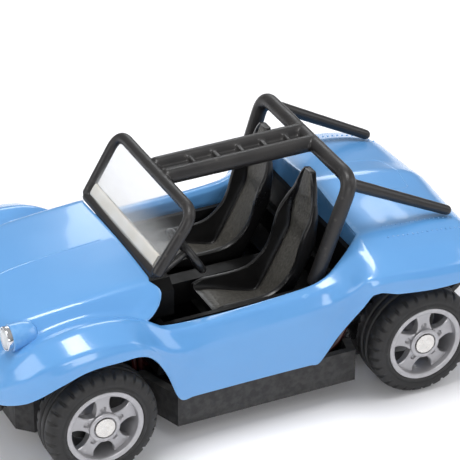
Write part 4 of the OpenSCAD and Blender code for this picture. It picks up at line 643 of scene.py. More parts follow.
# ---------- the car's places and sizes ----------
@dataclass(frozen=True)
class Plan:
    """Places and sizes that the sub-assemblies share, in millimetres."""

    front_x: float
    rear_x: float
    nose_x: float
    tail_x: float
    axle_z: float
    tyre_r: float
    wheel_y: float
    half_w: float = 17.2
    bonnet_y: float = 9.8
    sill_y: float = 12.1
    cowl_z: float = 19.8
    bonnet_z: float = 19.2
    sill_z: float = 14.4
    wing_z: float = 18.2
    deck_z: float = 20.9
    rocker_z: float = 6.2
    arch_z: float = 14.8
    roof_z: float = 26.8
    floor_z: float = 2.7

    @classmethod
    def from_frame(cls) -> "Plan":
        """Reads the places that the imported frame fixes."""
        (front_low, front_high), (rear_low, rear_high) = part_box("front_tyre_left"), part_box("rear_tyre_left")
        body_low, body_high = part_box("body_shell")
        return cls(front_x=(front_low.x + front_high.x) / 2 / MM, rear_x=(rear_low.x + rear_high.x) / 2 / MM,
                   nose_x=body_high.x / MM, tail_x=body_low.x / MM,
                   axle_z=(front_low.z + front_high.z) / 2 / MM,
                   tyre_r=(front_high.z - front_low.z) / 2 / MM, wheel_y=front_high.y / MM)

    @property
    def cowl_x(self) -> float:
        """Bonnet's rear edge."""
        return self.front_x - 8.4

    @property
    def hoop_x(self) -> float:
        """Upper corners of the main hoop."""
        return self.rear_x + 6.9

    @property
    def deck_x(self) -> float:
        """Front edge of the rear deck."""
        return self.rear_x + 6.3


# ---------- body ----------
@dataclass
class BodyShell:
    """The sprayed body: one skin from nose to tail, open over the cockpit, with its moulded lines."""

    plan: Plan
    wall: float = 0.65
    flange: float = 2.8
    corner_shares: tuple[float, ...] = (0, 0.3, 0.2, 0.3, 0.26, 0.24, 0.26, 0)
    corner_steps: int = 7
    run_steps: int = 3
    pitch: float = 0.32
    tables: dict[str, list[tuple[float, float]]] = field(init=False)

    def __post_init__(self) -> None:
        """Fills the tables. Each runs from tail to nose, in rows of (place along the car, size)."""
        p = self.plan
        tail_x, rear_x, deck_x = p.tail_x, p.rear_x, p.deck_x
        cowl_x, front_x, nose_x = p.cowl_x, p.front_x, p.nose_x
        sill_y, bonnet_y, half_w = p.sill_y, p.bonnet_y, p.half_w
        cowl_z, bonnet_z, sill_z, wing_z, deck_z = p.cowl_z, p.bonnet_z, p.sill_z, p.wing_z, p.deck_z
        rocker_z, arch_z = p.rocker_z, p.arch_z
        self.tables = {
            "crown_z": [
                (tail_x, deck_z - 8.4), (tail_x + 0.8, deck_z - 4.8), (tail_x + 2.4, deck_z - 2.6),
                (rear_x - 4.5, deck_z - 1.3), (rear_x, deck_z - 0.4), (deck_x, deck_z), (cowl_x, cowl_z),
                (front_x, bonnet_z), (front_x + 4, bonnet_z - 0.5), (front_x + 6.8, bonnet_z - 1.3),
                (nose_x - 2.0, bonnet_z - 2.6), (nose_x - 0.7, bonnet_z - 5.0), (nose_x, bonnet_z - 7.8)],
            "flat_y": [
                (tail_x, 3.4), (deck_x, 4.4), (cowl_x, 4.8), (nose_x, 4.4)],
            "flat_drop": [
                (tail_x, 0.2), (tail_x + 3, 0.5), (deck_x, 0.6), (cowl_x, 0.1), (nose_x, 0.15)],
            "edge_y": [
                (tail_x, sill_y - 2.6), (rear_x - 6, sill_y - 1.7), (deck_x, sill_y - 1.0),
                (rear_x + 9.5, sill_y - 0.4), (rear_x + 12.5, sill_y), (cowl_x - 8, sill_y),
                (cowl_x - 4.2, sill_y + 0.4), (cowl_x - 3.0, sill_y + 0.65), (cowl_x - 2.4, sill_y + 0.2),
                (cowl_x - 1.8, sill_y - 0.6), (cowl_x - 1.2, bonnet_y + 1.0),
                (cowl_x - 0.6, bonnet_y + 0.45), (cowl_x, bonnet_y), (front_x, bonnet_y - 0.2),
                (front_x + 5.5, bonnet_y - 0.7), (nose_x - 2, bonnet_y - 1.6), (nose_x, bonnet_y - 2.8)],
            "edge_z": [
                (tail_x, deck_z - 8.6), (tail_x + 0.8, deck_z - 5.6), (tail_x + 2.4, deck_z - 3.4),
                (rear_x - 4.5, deck_z - 2.2), (rear_x, deck_z - 1.6), (deck_x, deck_z - 1.4),
                (rear_x + 8.4, sill_z + 3.2), (rear_x + 10.5, sill_z + 1.4), (rear_x + 13.0, sill_z + 0.5),
                (cowl_x - 8, sill_z + 0.2), (cowl_x - 4.2, sill_z + 0.8), (cowl_x - 3.0, sill_z + 1.9),
                (cowl_x - 2.4, sill_z + 2.4), (cowl_x - 1.8, sill_z + 3.1), (cowl_x - 1.2, cowl_z - 1.3),
                (cowl_x - 0.6, cowl_z - 0.7), (cowl_x, cowl_z - 0.4), (front_x, bonnet_z - 0.4),
                (front_x + 4.5, bonnet_z - 1.0), (front_x + 7.5, bonnet_z - 2.0),
                (nose_x - 2, bonnet_z - 3.6), (nose_x - 0.7, bonnet_z - 6.0), (nose_x, bonnet_z - 8.2)],
            "valley_y": [
                (tail_x, sill_y - 1.4), (rear_x - 6, sill_y + 0.1), (rear_x, sill_y + 0.6),
                (deck_x, sill_y + 0.4), (rear_x + 11, sill_y + 0.4), (cowl_x - 2, sill_y + 0.5),
                (cowl_x + 1.8, sill_y + 0.7), (cowl_x + 3.4, sill_y - 0.2), (front_x - 3.5, sill_y - 0.5),
                (front_x, sill_y - 1.0), (front_x + 5.5, sill_y - 1.5), (nose_x - 2, sill_y - 3.0),
                (nose_x, sill_y - 4.4)],
            "valley_z": [
                (tail_x, deck_z - 8.9), (tail_x + 1.6, deck_z - 5.2), (tail_x + 3.2, deck_z - 3.4),
                (rear_x, deck_z - 2.2), (deck_x, deck_z - 2.0), (rear_x + 9.3, sill_z + 2.6),
                (rear_x + 11.5, sill_z + 1.5), (rear_x + 14, sill_z + 1.0), (cowl_x - 5, sill_z + 0.4),
                (cowl_x - 0.6, sill_z + 0.6), (cowl_x + 1.9, sill_z + 2.1), (cowl_x + 3.4, wing_z - 1.4),
                (front_x - 3.5, wing_z - 1.1), (front_x, wing_z - 0.8), (front_x + 5, wing_z - 1.7),
                (nose_x - 2.6, wing_z - 3.4), (nose_x - 0.7, wing_z - 6), (nose_x, wing_z - 7.6)],
            "crest_y": [
                (tail_x, sill_y - 0.4), (rear_x - 6, sill_y + 2.0), (rear_x, sill_y + 2.4),
                (deck_x, sill_y + 2.3), (rear_x + 12, sill_y + 1.6), (cowl_x - 2, sill_y + 1.4),
                (cowl_x + 2, sill_y + 1.2), (cowl_x + 4.5, sill_y + 1.4), (front_x + 4, sill_y + 1.4),
                (nose_x - 2, sill_y - 0.2), (nose_x, sill_y - 2.6)],
            "crest_z": [
                (tail_x, deck_z - 9.0), (tail_x + 1.8, deck_z - 5.6), (tail_x + 3.6, deck_z - 3.9),
                (rear_x, deck_z - 2.8), (deck_x, deck_z - 2.7), (rear_x + 9.5, sill_z + 1.6),
                (rear_x + 12.5, sill_z + 0.8), (cowl_x - 5, sill_z + 0.4), (cowl_x - 0.6, sill_z + 0.5),
                (cowl_x + 1.9, sill_z + 2.1), (cowl_x + 4.6, wing_z - 0.4), (front_x, wing_z),
                (front_x + 3, wing_z - 0.2), (front_x + 6.5, wing_z - 1.6), (nose_x - 2.2, wing_z - 3.8),
                (nose_x - 0.6, wing_z - 6.4), (nose_x, wing_z - 7.8)],
            "brow_y": [
                (tail_x, half_w - 5.4), (tail_x + 1.6, half_w - 2.6), (rear_x - 5, half_w - 0.9),
                (rear_x, half_w - 0.5), (rear_x + 7.8, half_w - 0.7), (rear_x + 9.6, half_w - 1.6),
                (rear_x + 12, half_w - 2.6), (cowl_x - 3, half_w - 2.7), (cowl_x + 1.6, half_w - 1.7),
                (front_x - 3.5, half_w - 0.9), (front_x + 4, half_w - 0.9), (nose_x - 3, half_w - 2.6),
                (nose_x - 1, half_w - 4.8), (nose_x, half_w - 6.8)],
            "brow_z": [
                (tail_x, arch_z - 2.6), (tail_x + 1.6, arch_z - 0.2), (rear_x - 5, arch_z + 1.4),
                (rear_x, arch_z + 1.9), (rear_x + 7.6, arch_z + 2.3), (rear_x + 9.6, sill_z + 0.6),
                (rear_x + 12, sill_z - 1.0), (cowl_x - 4, sill_z - 2.4), (cowl_x, sill_z - 1.2),
                (cowl_x + 2.6, sill_z + 0.8), (front_x - 3, arch_z + 2.0), (front_x + 2, arch_z + 2.1),
                (front_x + 6, arch_z + 0.8), (nose_x - 2, arch_z - 1.6), (nose_x, arch_z - 4.0)],
            "skirt_y": [
                (tail_x, half_w - 5.2), (tail_x + 1.6, half_w - 2.2), (rear_x - 5, half_w - 0.4),
                (rear_x, half_w - 0.05), (rear_x + 7.2, half_w - 0.15), (rear_x + 8.4, half_w - 0.9),
                (rear_x + 10.4, half_w - 2.45), (rear_x + 12.4, half_w - 2.6), (cowl_x - 3, half_w - 2.5),
                (cowl_x + 1.2, half_w - 1.7), (front_x - 4, half_w - 0.5), (front_x + 4, half_w - 0.4),
                (nose_x - 3, half_w - 2.2), (nose_x - 1, half_w - 4.6), (nose_x, half_w - 6.6)],
            "skirt_z": [
                (tail_x, arch_z - 3.2), (tail_x + 1.6, arch_z - 1.4), (rear_x - 5, arch_z + 0.4),
                (rear_x, arch_z + 0.9), (rear_x + 7.2, arch_z + 1.5), (rear_x + 8.4, arch_z - 0.4),
                (rear_x + 10.2, rocker_z + 6.0), (rear_x + 12.6, rocker_z + 3.8),
                (cowl_x - 3, rocker_z + 3.6), (cowl_x + 0.6, rocker_z + 6.4), (cowl_x + 2.8, arch_z),
                (front_x - 3, arch_z + 1.1), (front_x + 2, arch_z + 1.1), (front_x + 6, arch_z - 0.6),
                (nose_x - 2, arch_z - 3.0), (nose_x, arch_z - 4.8)],
            "lip_y": [
                (tail_x, half_w - 5.4), (tail_x + 1.6, half_w - 2.4), (rear_x - 5, half_w - 0.3),
                (rear_x, half_w), (rear_x + 7.4, half_w - 0.3), (rear_x + 8.6, half_w - 1.3),
                (rear_x + 10.2, half_w - 2.4), (rear_x + 12.2, half_w - 2.9), (cowl_x - 3, half_w - 2.9),
                (cowl_x + 0.6, half_w - 2.2), (front_x - 4, half_w - 0.4), (front_x + 4, half_w - 0.2),
                (nose_x - 3, half_w - 2.2), (nose_x - 1, half_w - 4.8), (nose_x, half_w - 6.8)],
            "lip_z": [
                (tail_x, arch_z - 4.2), (tail_x + 1.6, arch_z - 2.8), (rear_x - 5.5, arch_z - 0.9),
                (rear_x, arch_z - 0.6), (rear_x + 4, arch_z - 0.1), (rear_x + 7.2, arch_z + 0.4),
                (rear_x + 8.4, arch_z - 1.9), (rear_x + 10.1, rocker_z + 3.6),
                (rear_x + 12.3, rocker_z + 0.1), (rear_x + 13.5, rocker_z), (cowl_x - 3, rocker_z),
                (cowl_x - 1.2, rocker_z + 0.3), (cowl_x + 0.5, rocker_z + 4.2),
                (cowl_x + 2.2, arch_z - 1.6), (cowl_x + 4, arch_z - 0.1), (front_x - 2, arch_z + 0.2),
                (front_x + 2, arch_z + 0.1), (front_x + 5, arch_z - 1.2), (front_x + 7.5, arch_z - 3.2),
                (nose_x - 1.2, arch_z - 4.8), (nose_x, arch_z - 5.4)],
            "edge_shift": [
                (cowl_x - 13.5, 0), (cowl_x - 11, 0.7), (cowl_x - 8, 2.0), (cowl_x - 6, 3.2),
                (cowl_x - 4.2, 4.3), (cowl_x - 3.6, 4.6), (cowl_x - 3.0, 4.75), (cowl_x - 2.4, 3.1),
                (cowl_x - 1.8, 1.4), (cowl_x - 1.2, 0.25), (cowl_x - 0.6, -0.05), (cowl_x, 0)],
            "wall_shift": [
                (cowl_x - 13.5, 0), (cowl_x - 11, 0.7), (cowl_x - 8, 2.0), (cowl_x - 6, 3.2),
                (cowl_x - 4.2, 4.4), (cowl_x - 3, 5.0), (cowl_x, 3.4), (cowl_x + 2, 2.6),
                (cowl_x + 6, 0.6), (front_x + 1, 0)],
        }

    def key_points(self, s: Array) -> Array:
        """Key points of the left half of the section at each station, from the middle outwards.

        Each key point is (station + shift, y, z), where the shift leads round the cockpit's front corners.

        Args:
            s: stations along the car.

        Returns:
            Stations by 8 by 3.
        """
        t, p = self.tables, self.plan
        f, w = bump_curve(t["edge_shift"], s), bump_curve(t["wall_shift"], s)
        cockpit = (s > p.deck_x + 0.05) & (s < p.cowl_x - 0.05)
        nothing = np.zeros_like(s)
        crown, edge_y, edge_z = curve(t["crown_z"], s), curve(t["edge_y"], s), curve(t["edge_z"], s)
        rows = [(nothing, nothing, crown),
                (np.where(cockpit, f, 0), np.where(cockpit, edge_y - 0.15, curve(t["flat_y"], s)),
                 np.where(cockpit, edge_z - self.flange, crown - curve(t["flat_drop"], s))),
                (f, edge_y, edge_z)]
        for name, lead in (("valley", 1.0), ("crest", 1.0), ("brow", 0.8), ("skirt", 0.5), ("lip", 0.3)):
            rows.append((w * lead, curve(t[f"{name}_y"], s + w * lead), curve(t[f"{name}_z"], s + w * lead)))
        return np.stack([np.stack([s + x, y, z], axis=-1) for x, y, z in rows], axis=1)

    def outline(self, s: Array) -> tuple[Array, list[int]]:
        """Left half of the section at each station, and where each corner starts."""
        return rounded(self.key_points(s), list(self.corner_shares), self.corner_steps, self.run_steps)

    def stations(self) -> Array:
        """Stations along the car, with none between the cockpit's ends and the rows next to them."""
        p = self.plan
        spans = [(p.tail_x, p.deck_x), (p.deck_x + 0.9, p.cowl_x - 0.6), (p.cowl_x, p.nose_x)]
        return np.concatenate([np.linspace(a, b, round((b - a) / self.pitch) + 1) for a, b in spans])

    def skin(self) -> Solid:
        """Outer surface as a grid of stations by outline points, without the cockpit's opening."""
        p, s = self.plan, self.stations()
        half, starts = self.outline(s)
        full = np.concatenate([half[:, :0:-1] * np.array([1, -1, 1]), half], axis=1)
        columns, middle = full.shape[1], half.shape[1] - 1
        row, column = np.meshgrid(np.arange(len(s) - 1), np.arange(columns - 1), indexing="ij")
        away = np.where(column >= middle, column - middle, middle - 1 - column)
        here = s[row]
        in_opening = (here > p.deck_x - 0.05) & (here < p.cowl_x - 0.05)
        has_flange = (here > p.deck_x + 0.05) & (here < p.cowl_x - 3.7)
        flange_end, edge_middle = starts[1] + self.corner_steps - 1, starts[2] + self.corner_steps // 2
        reach = np.where(has_flange, flange_end, edge_middle)
        kept = ~(in_opening & (away < reach))
        return Solid().add(full, grid_faces(len(s), columns, kept))

    def height(self, x: Array, y: Array) -> Array:
        """Height of the outer surface over a point of the bonnet or the deck."""
        half, starts = self.outline(np.atleast_1d(x))
        upto = starts[3]
        return np.array([np.interp(abs(b), row[:upto, 1], row[:upto, 2])
                         for b, row in zip(np.atleast_1d(y), half)])

    def bead(self, x: Array, y: Array, d: float = 0.26, proud: float = 0.045) -> Solid:
        """A moulded line: a thin round bead that follows the surface and stands a little proud of it."""
        z = self.height(x, y) - d / 2 + proud
        return tube(np.stack([x, y, z], axis=-1), d, d, sides=10, cap=0.9)

    def moulded_lines(self) -> Solid:
        """Bonnet's middle line, the deck's hatch outline and the line across the tail."""
        p, lines = self.plan, Solid()
        x = np.linspace(p.cowl_x + 1.6, p.nose_x - 3.4, 40)
        lines.join(self.bead(x, np.zeros_like(x), 0.3, 0.05))
        hatch_y, hatch_rear, hatch_front = 3.6, p.rear_x - 4.3, p.deck_x - 3.2
        corner = bend([(hatch_front, hatch_y, 0), (hatch_rear, hatch_y, 0), (hatch_rear - 0.35, 0, 0),
                       (hatch_rear, -hatch_y, 0), (hatch_front, -hatch_y, 0)], 0.9)
        fine = np.linspace(0, len(corner) - 1, 90)
        x, y = (np.interp(fine, np.arange(len(corner)), corner[:, i]) for i in (0, 1))
        return lines.join(self.bead(x, y, 0.24, 0.04))

    def stitched_creases(self) -> Solid:
        """Two rows of small raised dots along the crease beside the deck, on both sides."""
        p, dots = self.plan, Solid()
        s = np.arange(p.tail_x + 3.0, p.deck_x - 3.0, 0.62)
        half, starts = self.outline(s)
        for column in (starts[2] + self.corner_steps // 2, starts[3] + 1):
            for at in half[:, column]:
                dot = turned([(0, 0.10), (0.07, 0.085), (0.115, 0.04), (0.12, -0.06), (0, -0.06)], 8)
                dots.join(place(dot, (0, 0.25, 1), tuple(at)))
        return dots.join(dots.mirrored())

    def bulkhead(self) -> Solid:
        """Upright wall behind the seats, whose top follows the underside of the deck."""
        p, reach, low, thick = self.plan, self.plan.sill_y - 1.2, 13.0, 0.7
        y = np.linspace(-reach, reach, 61)
        top = self.height(np.full_like(y, p.deck_x), y) - self.wall / 2
        x0, x1 = p.deck_x - thick, p.deck_x
        z = mix(np.full((9, 61), low), np.broadcast_to(top, (9, 61)), np.linspace(0, 1, 9)[:, None])
        front = np.stack([np.full_like(z, x1), np.broadcast_to(y, z.shape), z], axis=-1)
        back = front - np.array([x1 - x0, 0, 0])
        loop = np.concatenate([front, back[::-1]])
        return Solid().grid(loop.transpose(1, 0, 2), wrap=True, caps=True)

    def pods(self) -> Solid:
        """Round pods behind the headlights."""
        p, made = self.plan, Solid()
        for side in (LEFT, RIGHT):
            profile = [(0, -3.3), (0.9, -3.2), (1.4, -2.7), (1.52, -1.8), (1.52, -0.3), (1.4, -0.2),
                       (0, -0.2)]
            pod = turned(profile, 48)
            made.join(place(pod, (1, 0, 0), (p.front_x + 8.3, side * (p.bonnet_y - 0.2), p.wing_z - 1.8)))
        return made

    def build(self) -> None:
        """Makes the skin with its wall, the bulkhead and the lines."""
        make_piece("painted_body", self.skin(), "chassis", "body_paint", ("body_shell",), Edge.SKIN,
                   self.wall, 38)
        make_piece("painted_bulkhead", self.bulkhead(), "chassis", "body_paint")
        make_piece("headlight_pods", self.pods(), "chassis", "body_paint")
        make_piece("moulded_lines", self.moulded_lines(), "chassis", "body_paint")
        make_piece("stitched_creases", self.stitched_creases(), "chassis", "body_paint")


# ---------- roll cage and windscreen ----------
@dataclass
class RollCage:
    """The moulded cage: two side tubes over the cockpit, the roof bars with their rungs, and the stays."""

    plan: Plan
    frame_d: float = 1.35
    hoop_d: float = 1.75
    bar_d: float = 1.9
    bar_gap: float = 3.0
    radius: float = 2.0
    rungs: tuple[float, ...] = (2.6, -0.3, -3.3, -6.2, -9.1)

    @property
    def frame_top(self) -> Array:
        """Upper left corner of the screen frame."""
        return np.array([self.plan.cowl_x - 5.1, 10.0, self.plan.roof_z - 0.2])

    @property
    def frame_foot(self) -> Array:
        """Left foot of the screen frame."""
        return np.array([self.plan.cowl_x - 0.72, 9.6, self.plan.cowl_z - 0.05])

    @property
    def hoop_corner(self) -> Array:
        """Upper left corner of the main hoop."""
        return np.array([self.plan.hoop_x + 0.2, 11.0, self.plan.roof_z - 0.1])

    def tubes(self) -> Solid:
        """Every member as its own closed tube or block."""
        p, made = self.plan, Solid()
        foot = np.array([p.hoop_x + 4.5, 10.6, p.sill_z - 0.2])
        flip = np.array([1, -1, 1])
        screen = [self.frame_foot, self.frame_top, self.frame_top * flip, self.frame_foot * flip]
        hoop = [foot, self.hoop_corner, self.hoop_corner * flip, foot * flip]
        made.join(tube(bend(screen, self.radius), self.frame_d, self.frame_d, 32))
        made.join(tube(bend(hoop, self.radius), self.hoop_d, self.hoop_d, 32))
        y = self.bar_gap / 2
        rear = np.array([p.hoop_x, y, p.roof_z - 0.08])
        front = np.array([self.frame_top[0] - 0.3, y, p.roof_z - 0.15])
        stay = [self.hoop_corner + np.array([0.4, -0.5, -0.5]),
                np.array([p.rear_x - 6.2, 9.8, p.deck_z - 2.0])]
        for side in (LEFT, RIGHT):
            turn = np.array([1, side, 1])
            made.join(tube(np.linspace(front * turn, rear * turn, 8), self.bar_d * 0.94, self.bar_d, 28))
            made.join(tube(np.linspace(stay[0] * turn, stay[1] * turn, 12), 1.43, 1.17, 28, cap=0.9))
        low = self.frame_foot + np.array([0.1, 0, 0])
        made.join(tube(np.linspace(low, low * flip, 6), 1.08, 1.08, 24))
        y = self.bar_gap / 2 - 0.45
        made.join(brick((rear[0], -y, rear[2] - 0.5), (front[0], y, front[2] + 0.18)))
        for x in self.rungs:
            made.join(brick((x - 0.24, -y, rear[2] - 0.4), (x + 0.24, y, rear[2] + 0.58)))
        return made

    def build(self) -> None:
        """Makes the cage as one moulding."""
        make_piece("cage_moulding", self.tubes(), "chassis", "cage_black", ("roll_cage",), Edge.MOULDED, 0.13)


@dataclass
class Windscreen:
    """Clear screen between the legs of the frame, with the thick ledge along its foot."""

    cage: RollCage
    thick: float = 0.45

    def pane(self) -> Solid:
        """The pane, as a thick grid that narrows from the frame's foot to its top."""
        foot, top = self.cage.frame_foot, self.cage.frame_top
        up = unit(np.array([top[0] - foot[0], 0, top[2] - foot[2]]))
        out = np.array([up[2], 0, -up[0]])
        length = np.linalg.norm((top - foot)[[0, 2]])
        rise, side = np.linspace(0.25, length - 0.2, 25), np.linspace(-1, 1, 41)
        half = mix(foot[1], top[1], rise / length) - 0.4
        bow = 0.12 * (1 - side ** 2)
        middle = (foot * [1, 0, 1] + rise[:, None, None] * up
                  + (half[:, None] * side)[..., None] * np.array([0, 1, 0]) + bow[None, :, None] * out)
        loop = np.concatenate([middle + out * self.thick / 2, (middle - out * self.thick / 2)[::-1]])
        return Solid().grid(loop.transpose(1, 0, 2), wrap=True, caps=True)

    def ledge(self) -> Solid:
        """Thicker band along the foot of the pane, with rounded edges."""
        foot, top = self.cage.frame_foot, self.cage.frame_top
        up = unit(np.array([top[0] - foot[0], 0, top[2] - foot[2]]))
        out = np.array([up[2], 0, -up[0]])
        a = np.linspace(0, 2 * math.pi, 32, endpoint=False)
        high = 0.75 * np.sign(np.cos(a)) * np.abs(np.cos(a)) ** 0.5
        deep = 0.42 * np.sign(np.sin(a)) * np.abs(np.sin(a)) ** 0.5
        ring = foot * [1, 0, 1] + (1.25 + high)[:, None] * up + (deep + 0.03)[:, None] * out
        rows = [ring + np.array([0, y, 0]) for y in np.linspace(-foot[1] + 0.9, foot[1] - 0.9, 9)]
        return Solid().grid(np.stack(rows), wrap=True, caps=True)

    def build(self) -> None:
        """Makes the pane and the ledge."""
        pane, ledge = self.pane(), self.ledge()
        haze = 0.42 * smooth(self.cage.frame_top[2] - 1.5, self.cage.frame_foot[2], pane.points[0][:, 2])
        make_piece("screen_pane", pane, "chassis", "screen_clear", ("windscreen",), sharp=50, mask=haze)
        make_piece("screen_ledge", ledge, "chassis", "screen_clear", sharp=60, mask=np.ones(ledge.count))


# ---------- cabin ----------
@dataclass
class Seat:
    """A bucket seat: floor and back in one sweep, between walls that end in a thin rolled rim."""

    plan: Plan
    side: int
    width: float = 7.0
    wall: float = 0.6
    rows: tuple[tuple[float, ...], ...] = (
        (0, 2.0, -0.1, 2.2, 0.97), (-1.6, 1.65, -1.3, 2.6, 1), (-3.4, 1.1, -2.8, 2.6, 1),
        (-5.4, 0.45, -4.6, 2.6, 1), (-6.9, 0.05, -6.1, 2.7, 1), (-7.8, 0.1, -7.3, 3.05, 1),
        (-8.6, 1.1, -8.4, 3.8, 1), (-9.9, 3.4, -9.3, 4.8, 1),
        (-11.0, 5.5, -9.95, 6.2, 1), (-11.9, 7.3, -10.3, 7.6, 1), (-12.15, 9.3, -10.9, 9.3, 1),
        (-12.4, 11.0, -11.75, 10.8, 0.93), (-12.6, 12.5, -12.4, 12.4, 0.72),
        (-12.75, 13.8, -12.7, 13.8, 0.56),
        (-12.85, 14.8, -12.8, 14.8, 0.4), (-12.95, 15.5, -12.9, 15.5, 0.25))

    def section(self, fine: Array) -> tuple[Array, Array]:
        """Closed loop at each place along the seat, in the seat's own frame.

        The front face runs from rim to rim over the floor. The back face lies one wall behind it along the
        outward normal n = (-dz, dx), where (dx, dz) is the way the floor runs.

        Args:
            fine: places along the table, in rows.

        Returns:
            Rows by loop points by 3, and the mask of the painted sheen on the cushions, over the same points.
        """
        table, places = np.array(self.rows), np.arange(len(self.rows))
        q = np.stack([curve(list(zip(places, table[:, i])), fine) for i in range(5)], axis=-1)
        floor, rim = q[:, :2], q[:, 2:4]
        way = unit(np.gradient(floor, axis=0))
        up = np.stack([way[:, 1], -way[:, 0]], axis=-1)
        half = q[:, 4] * self.width / 2
        crease = half - np.minimum(1.1, half * 0.4)
        across = np.linspace(-1, 1, 57)
        u = np.abs(across)
        flat = 0.62
        climb = np.clip((u - flat) / (1 - flat), 0, 1)
        rise = climb ** 1.9
        front_y = np.where(u < flat, u / flat * crease[:, None],
                           mix(crease[:, None], half[:, None] - self.wall, 1 - (1 - climb) ** 1.7))
        pad = 0.22 * smooth(0.99, 0.72, u / flat) * smooth(0.4, 1.0, fine[:, None] + 0.2) \
            * (0.25 + 0.75 * smooth(10.6, 9.6, fine)[:, None] + 0.6 * smooth(11.3, 12.2, fine)[:, None])
        front = mix(floor[:, None], rim[:, None], rise[None, :, None]) + (pad[..., None] * up[:, None])
        back = mix(floor[:, None], rim[:, None], rise[None, :, None] * 0.96)
        back = back - self.wall * (1 - rise[None, :, None]) * up[:, None]
        back_y = front_y + np.where(u < flat, 0, climb ** 0.5)[None, :] * self.wall
        sign = np.sign(across)
        near = np.stack([front[..., 0], sign * front_y, front[..., 1]], axis=-1)
        far = np.stack([back[..., 0], sign * np.minimum(back_y, half[:, None]), back[..., 1]], axis=-1)
        lip = []
        for j in (0, -1):
            middle = (near[:, j] + far[:, j]) / 2
            outwards = unit(rim - floor)
            raised = middle + 0.14 * np.stack([outwards[:, 0], 0 * half, outwards[:, 1]], axis=-1)
            lip.append(raised)
        loop = np.concatenate([lip[0][:, None], near, lip[1][:, None], far[:, ::-1]], axis=1)
        # Mask of the painted sheen: a lighter grey on the cushions' flat middle that stands for light on the
        # pebbled surface.
        painted_cushion_sheen = smooth(1.02, 0.86, u / flat)[None, :] * np.ones_like(half)[:, None]
        painted_cushion_sheen = painted_cushion_sheen * smooth(0.1, 0.7, fine)[:, None] * smooth(15.0, 14.2, fine)[:, None]
        mask = np.concatenate([0 * half[:, None], painted_cushion_sheen, 0 * half[:, None], 0 * painted_cushion_sheen], axis=1)
        return loop, mask

    def build(self) -> None:
        """Makes the seat."""
        name = "left" if self.side == LEFT else "right"
        fine = np.linspace(0, len(self.rows) - 1, 121)
        loop, mask = self.section(fine)
        loop = loop + np.array([self.plan.rear_x + 22.7, self.side * 5.7, 10.5])
        make_piece(f"seat_shell_{name}", Solid().grid(loop, wrap=True, caps=True), "chassis", "seat_black",
                   (f"seat_{name}",), sharp=55, mask=mask.ravel())


@dataclass
class SteeringWheel:
    """Driver's wheel: rim, three spokes and hub."""

    plan: Plan
    radius: float = 2.65
    rim_d: float = 0.9

    def build(self) -> None:
        """Makes the wheel, square to its column."""
        turn = math.radians(58.75)
        axis = (-math.sin(turn), 0, math.cos(turn))
        at = (self.plan.cowl_x - 6.2, 5.7, self.plan.cowl_z - 0.5)
        a = np.linspace(0, 2 * math.pi, 24, endpoint=False)
        ring = np.stack([self.radius + self.rim_d / 2 * np.cos(a), self.rim_d / 2 * np.sin(a)], axis=-1)
        made = turned(ring, 72, closed=True)
        made.join(turned([(0, -0.35), (0.7, -0.35), (0.82, -0.2), (0.82, 0.12), (0.55, 0.28), (0, 0.3)], 40))
        for degrees in (0, 120, 240):
            way = np.array([math.cos(math.radians(degrees)), math.sin(math.radians(degrees)), 0])
            made.join(tube(np.linspace(way * 0.4, way * 2.5, 4), 0.62, 0.5, 20))
        make_piece("wheel_rim", place(made, axis, at), "chassis", "steering_black", ("steering_wheel",),
                   Edge.MOULDED, 0.09)


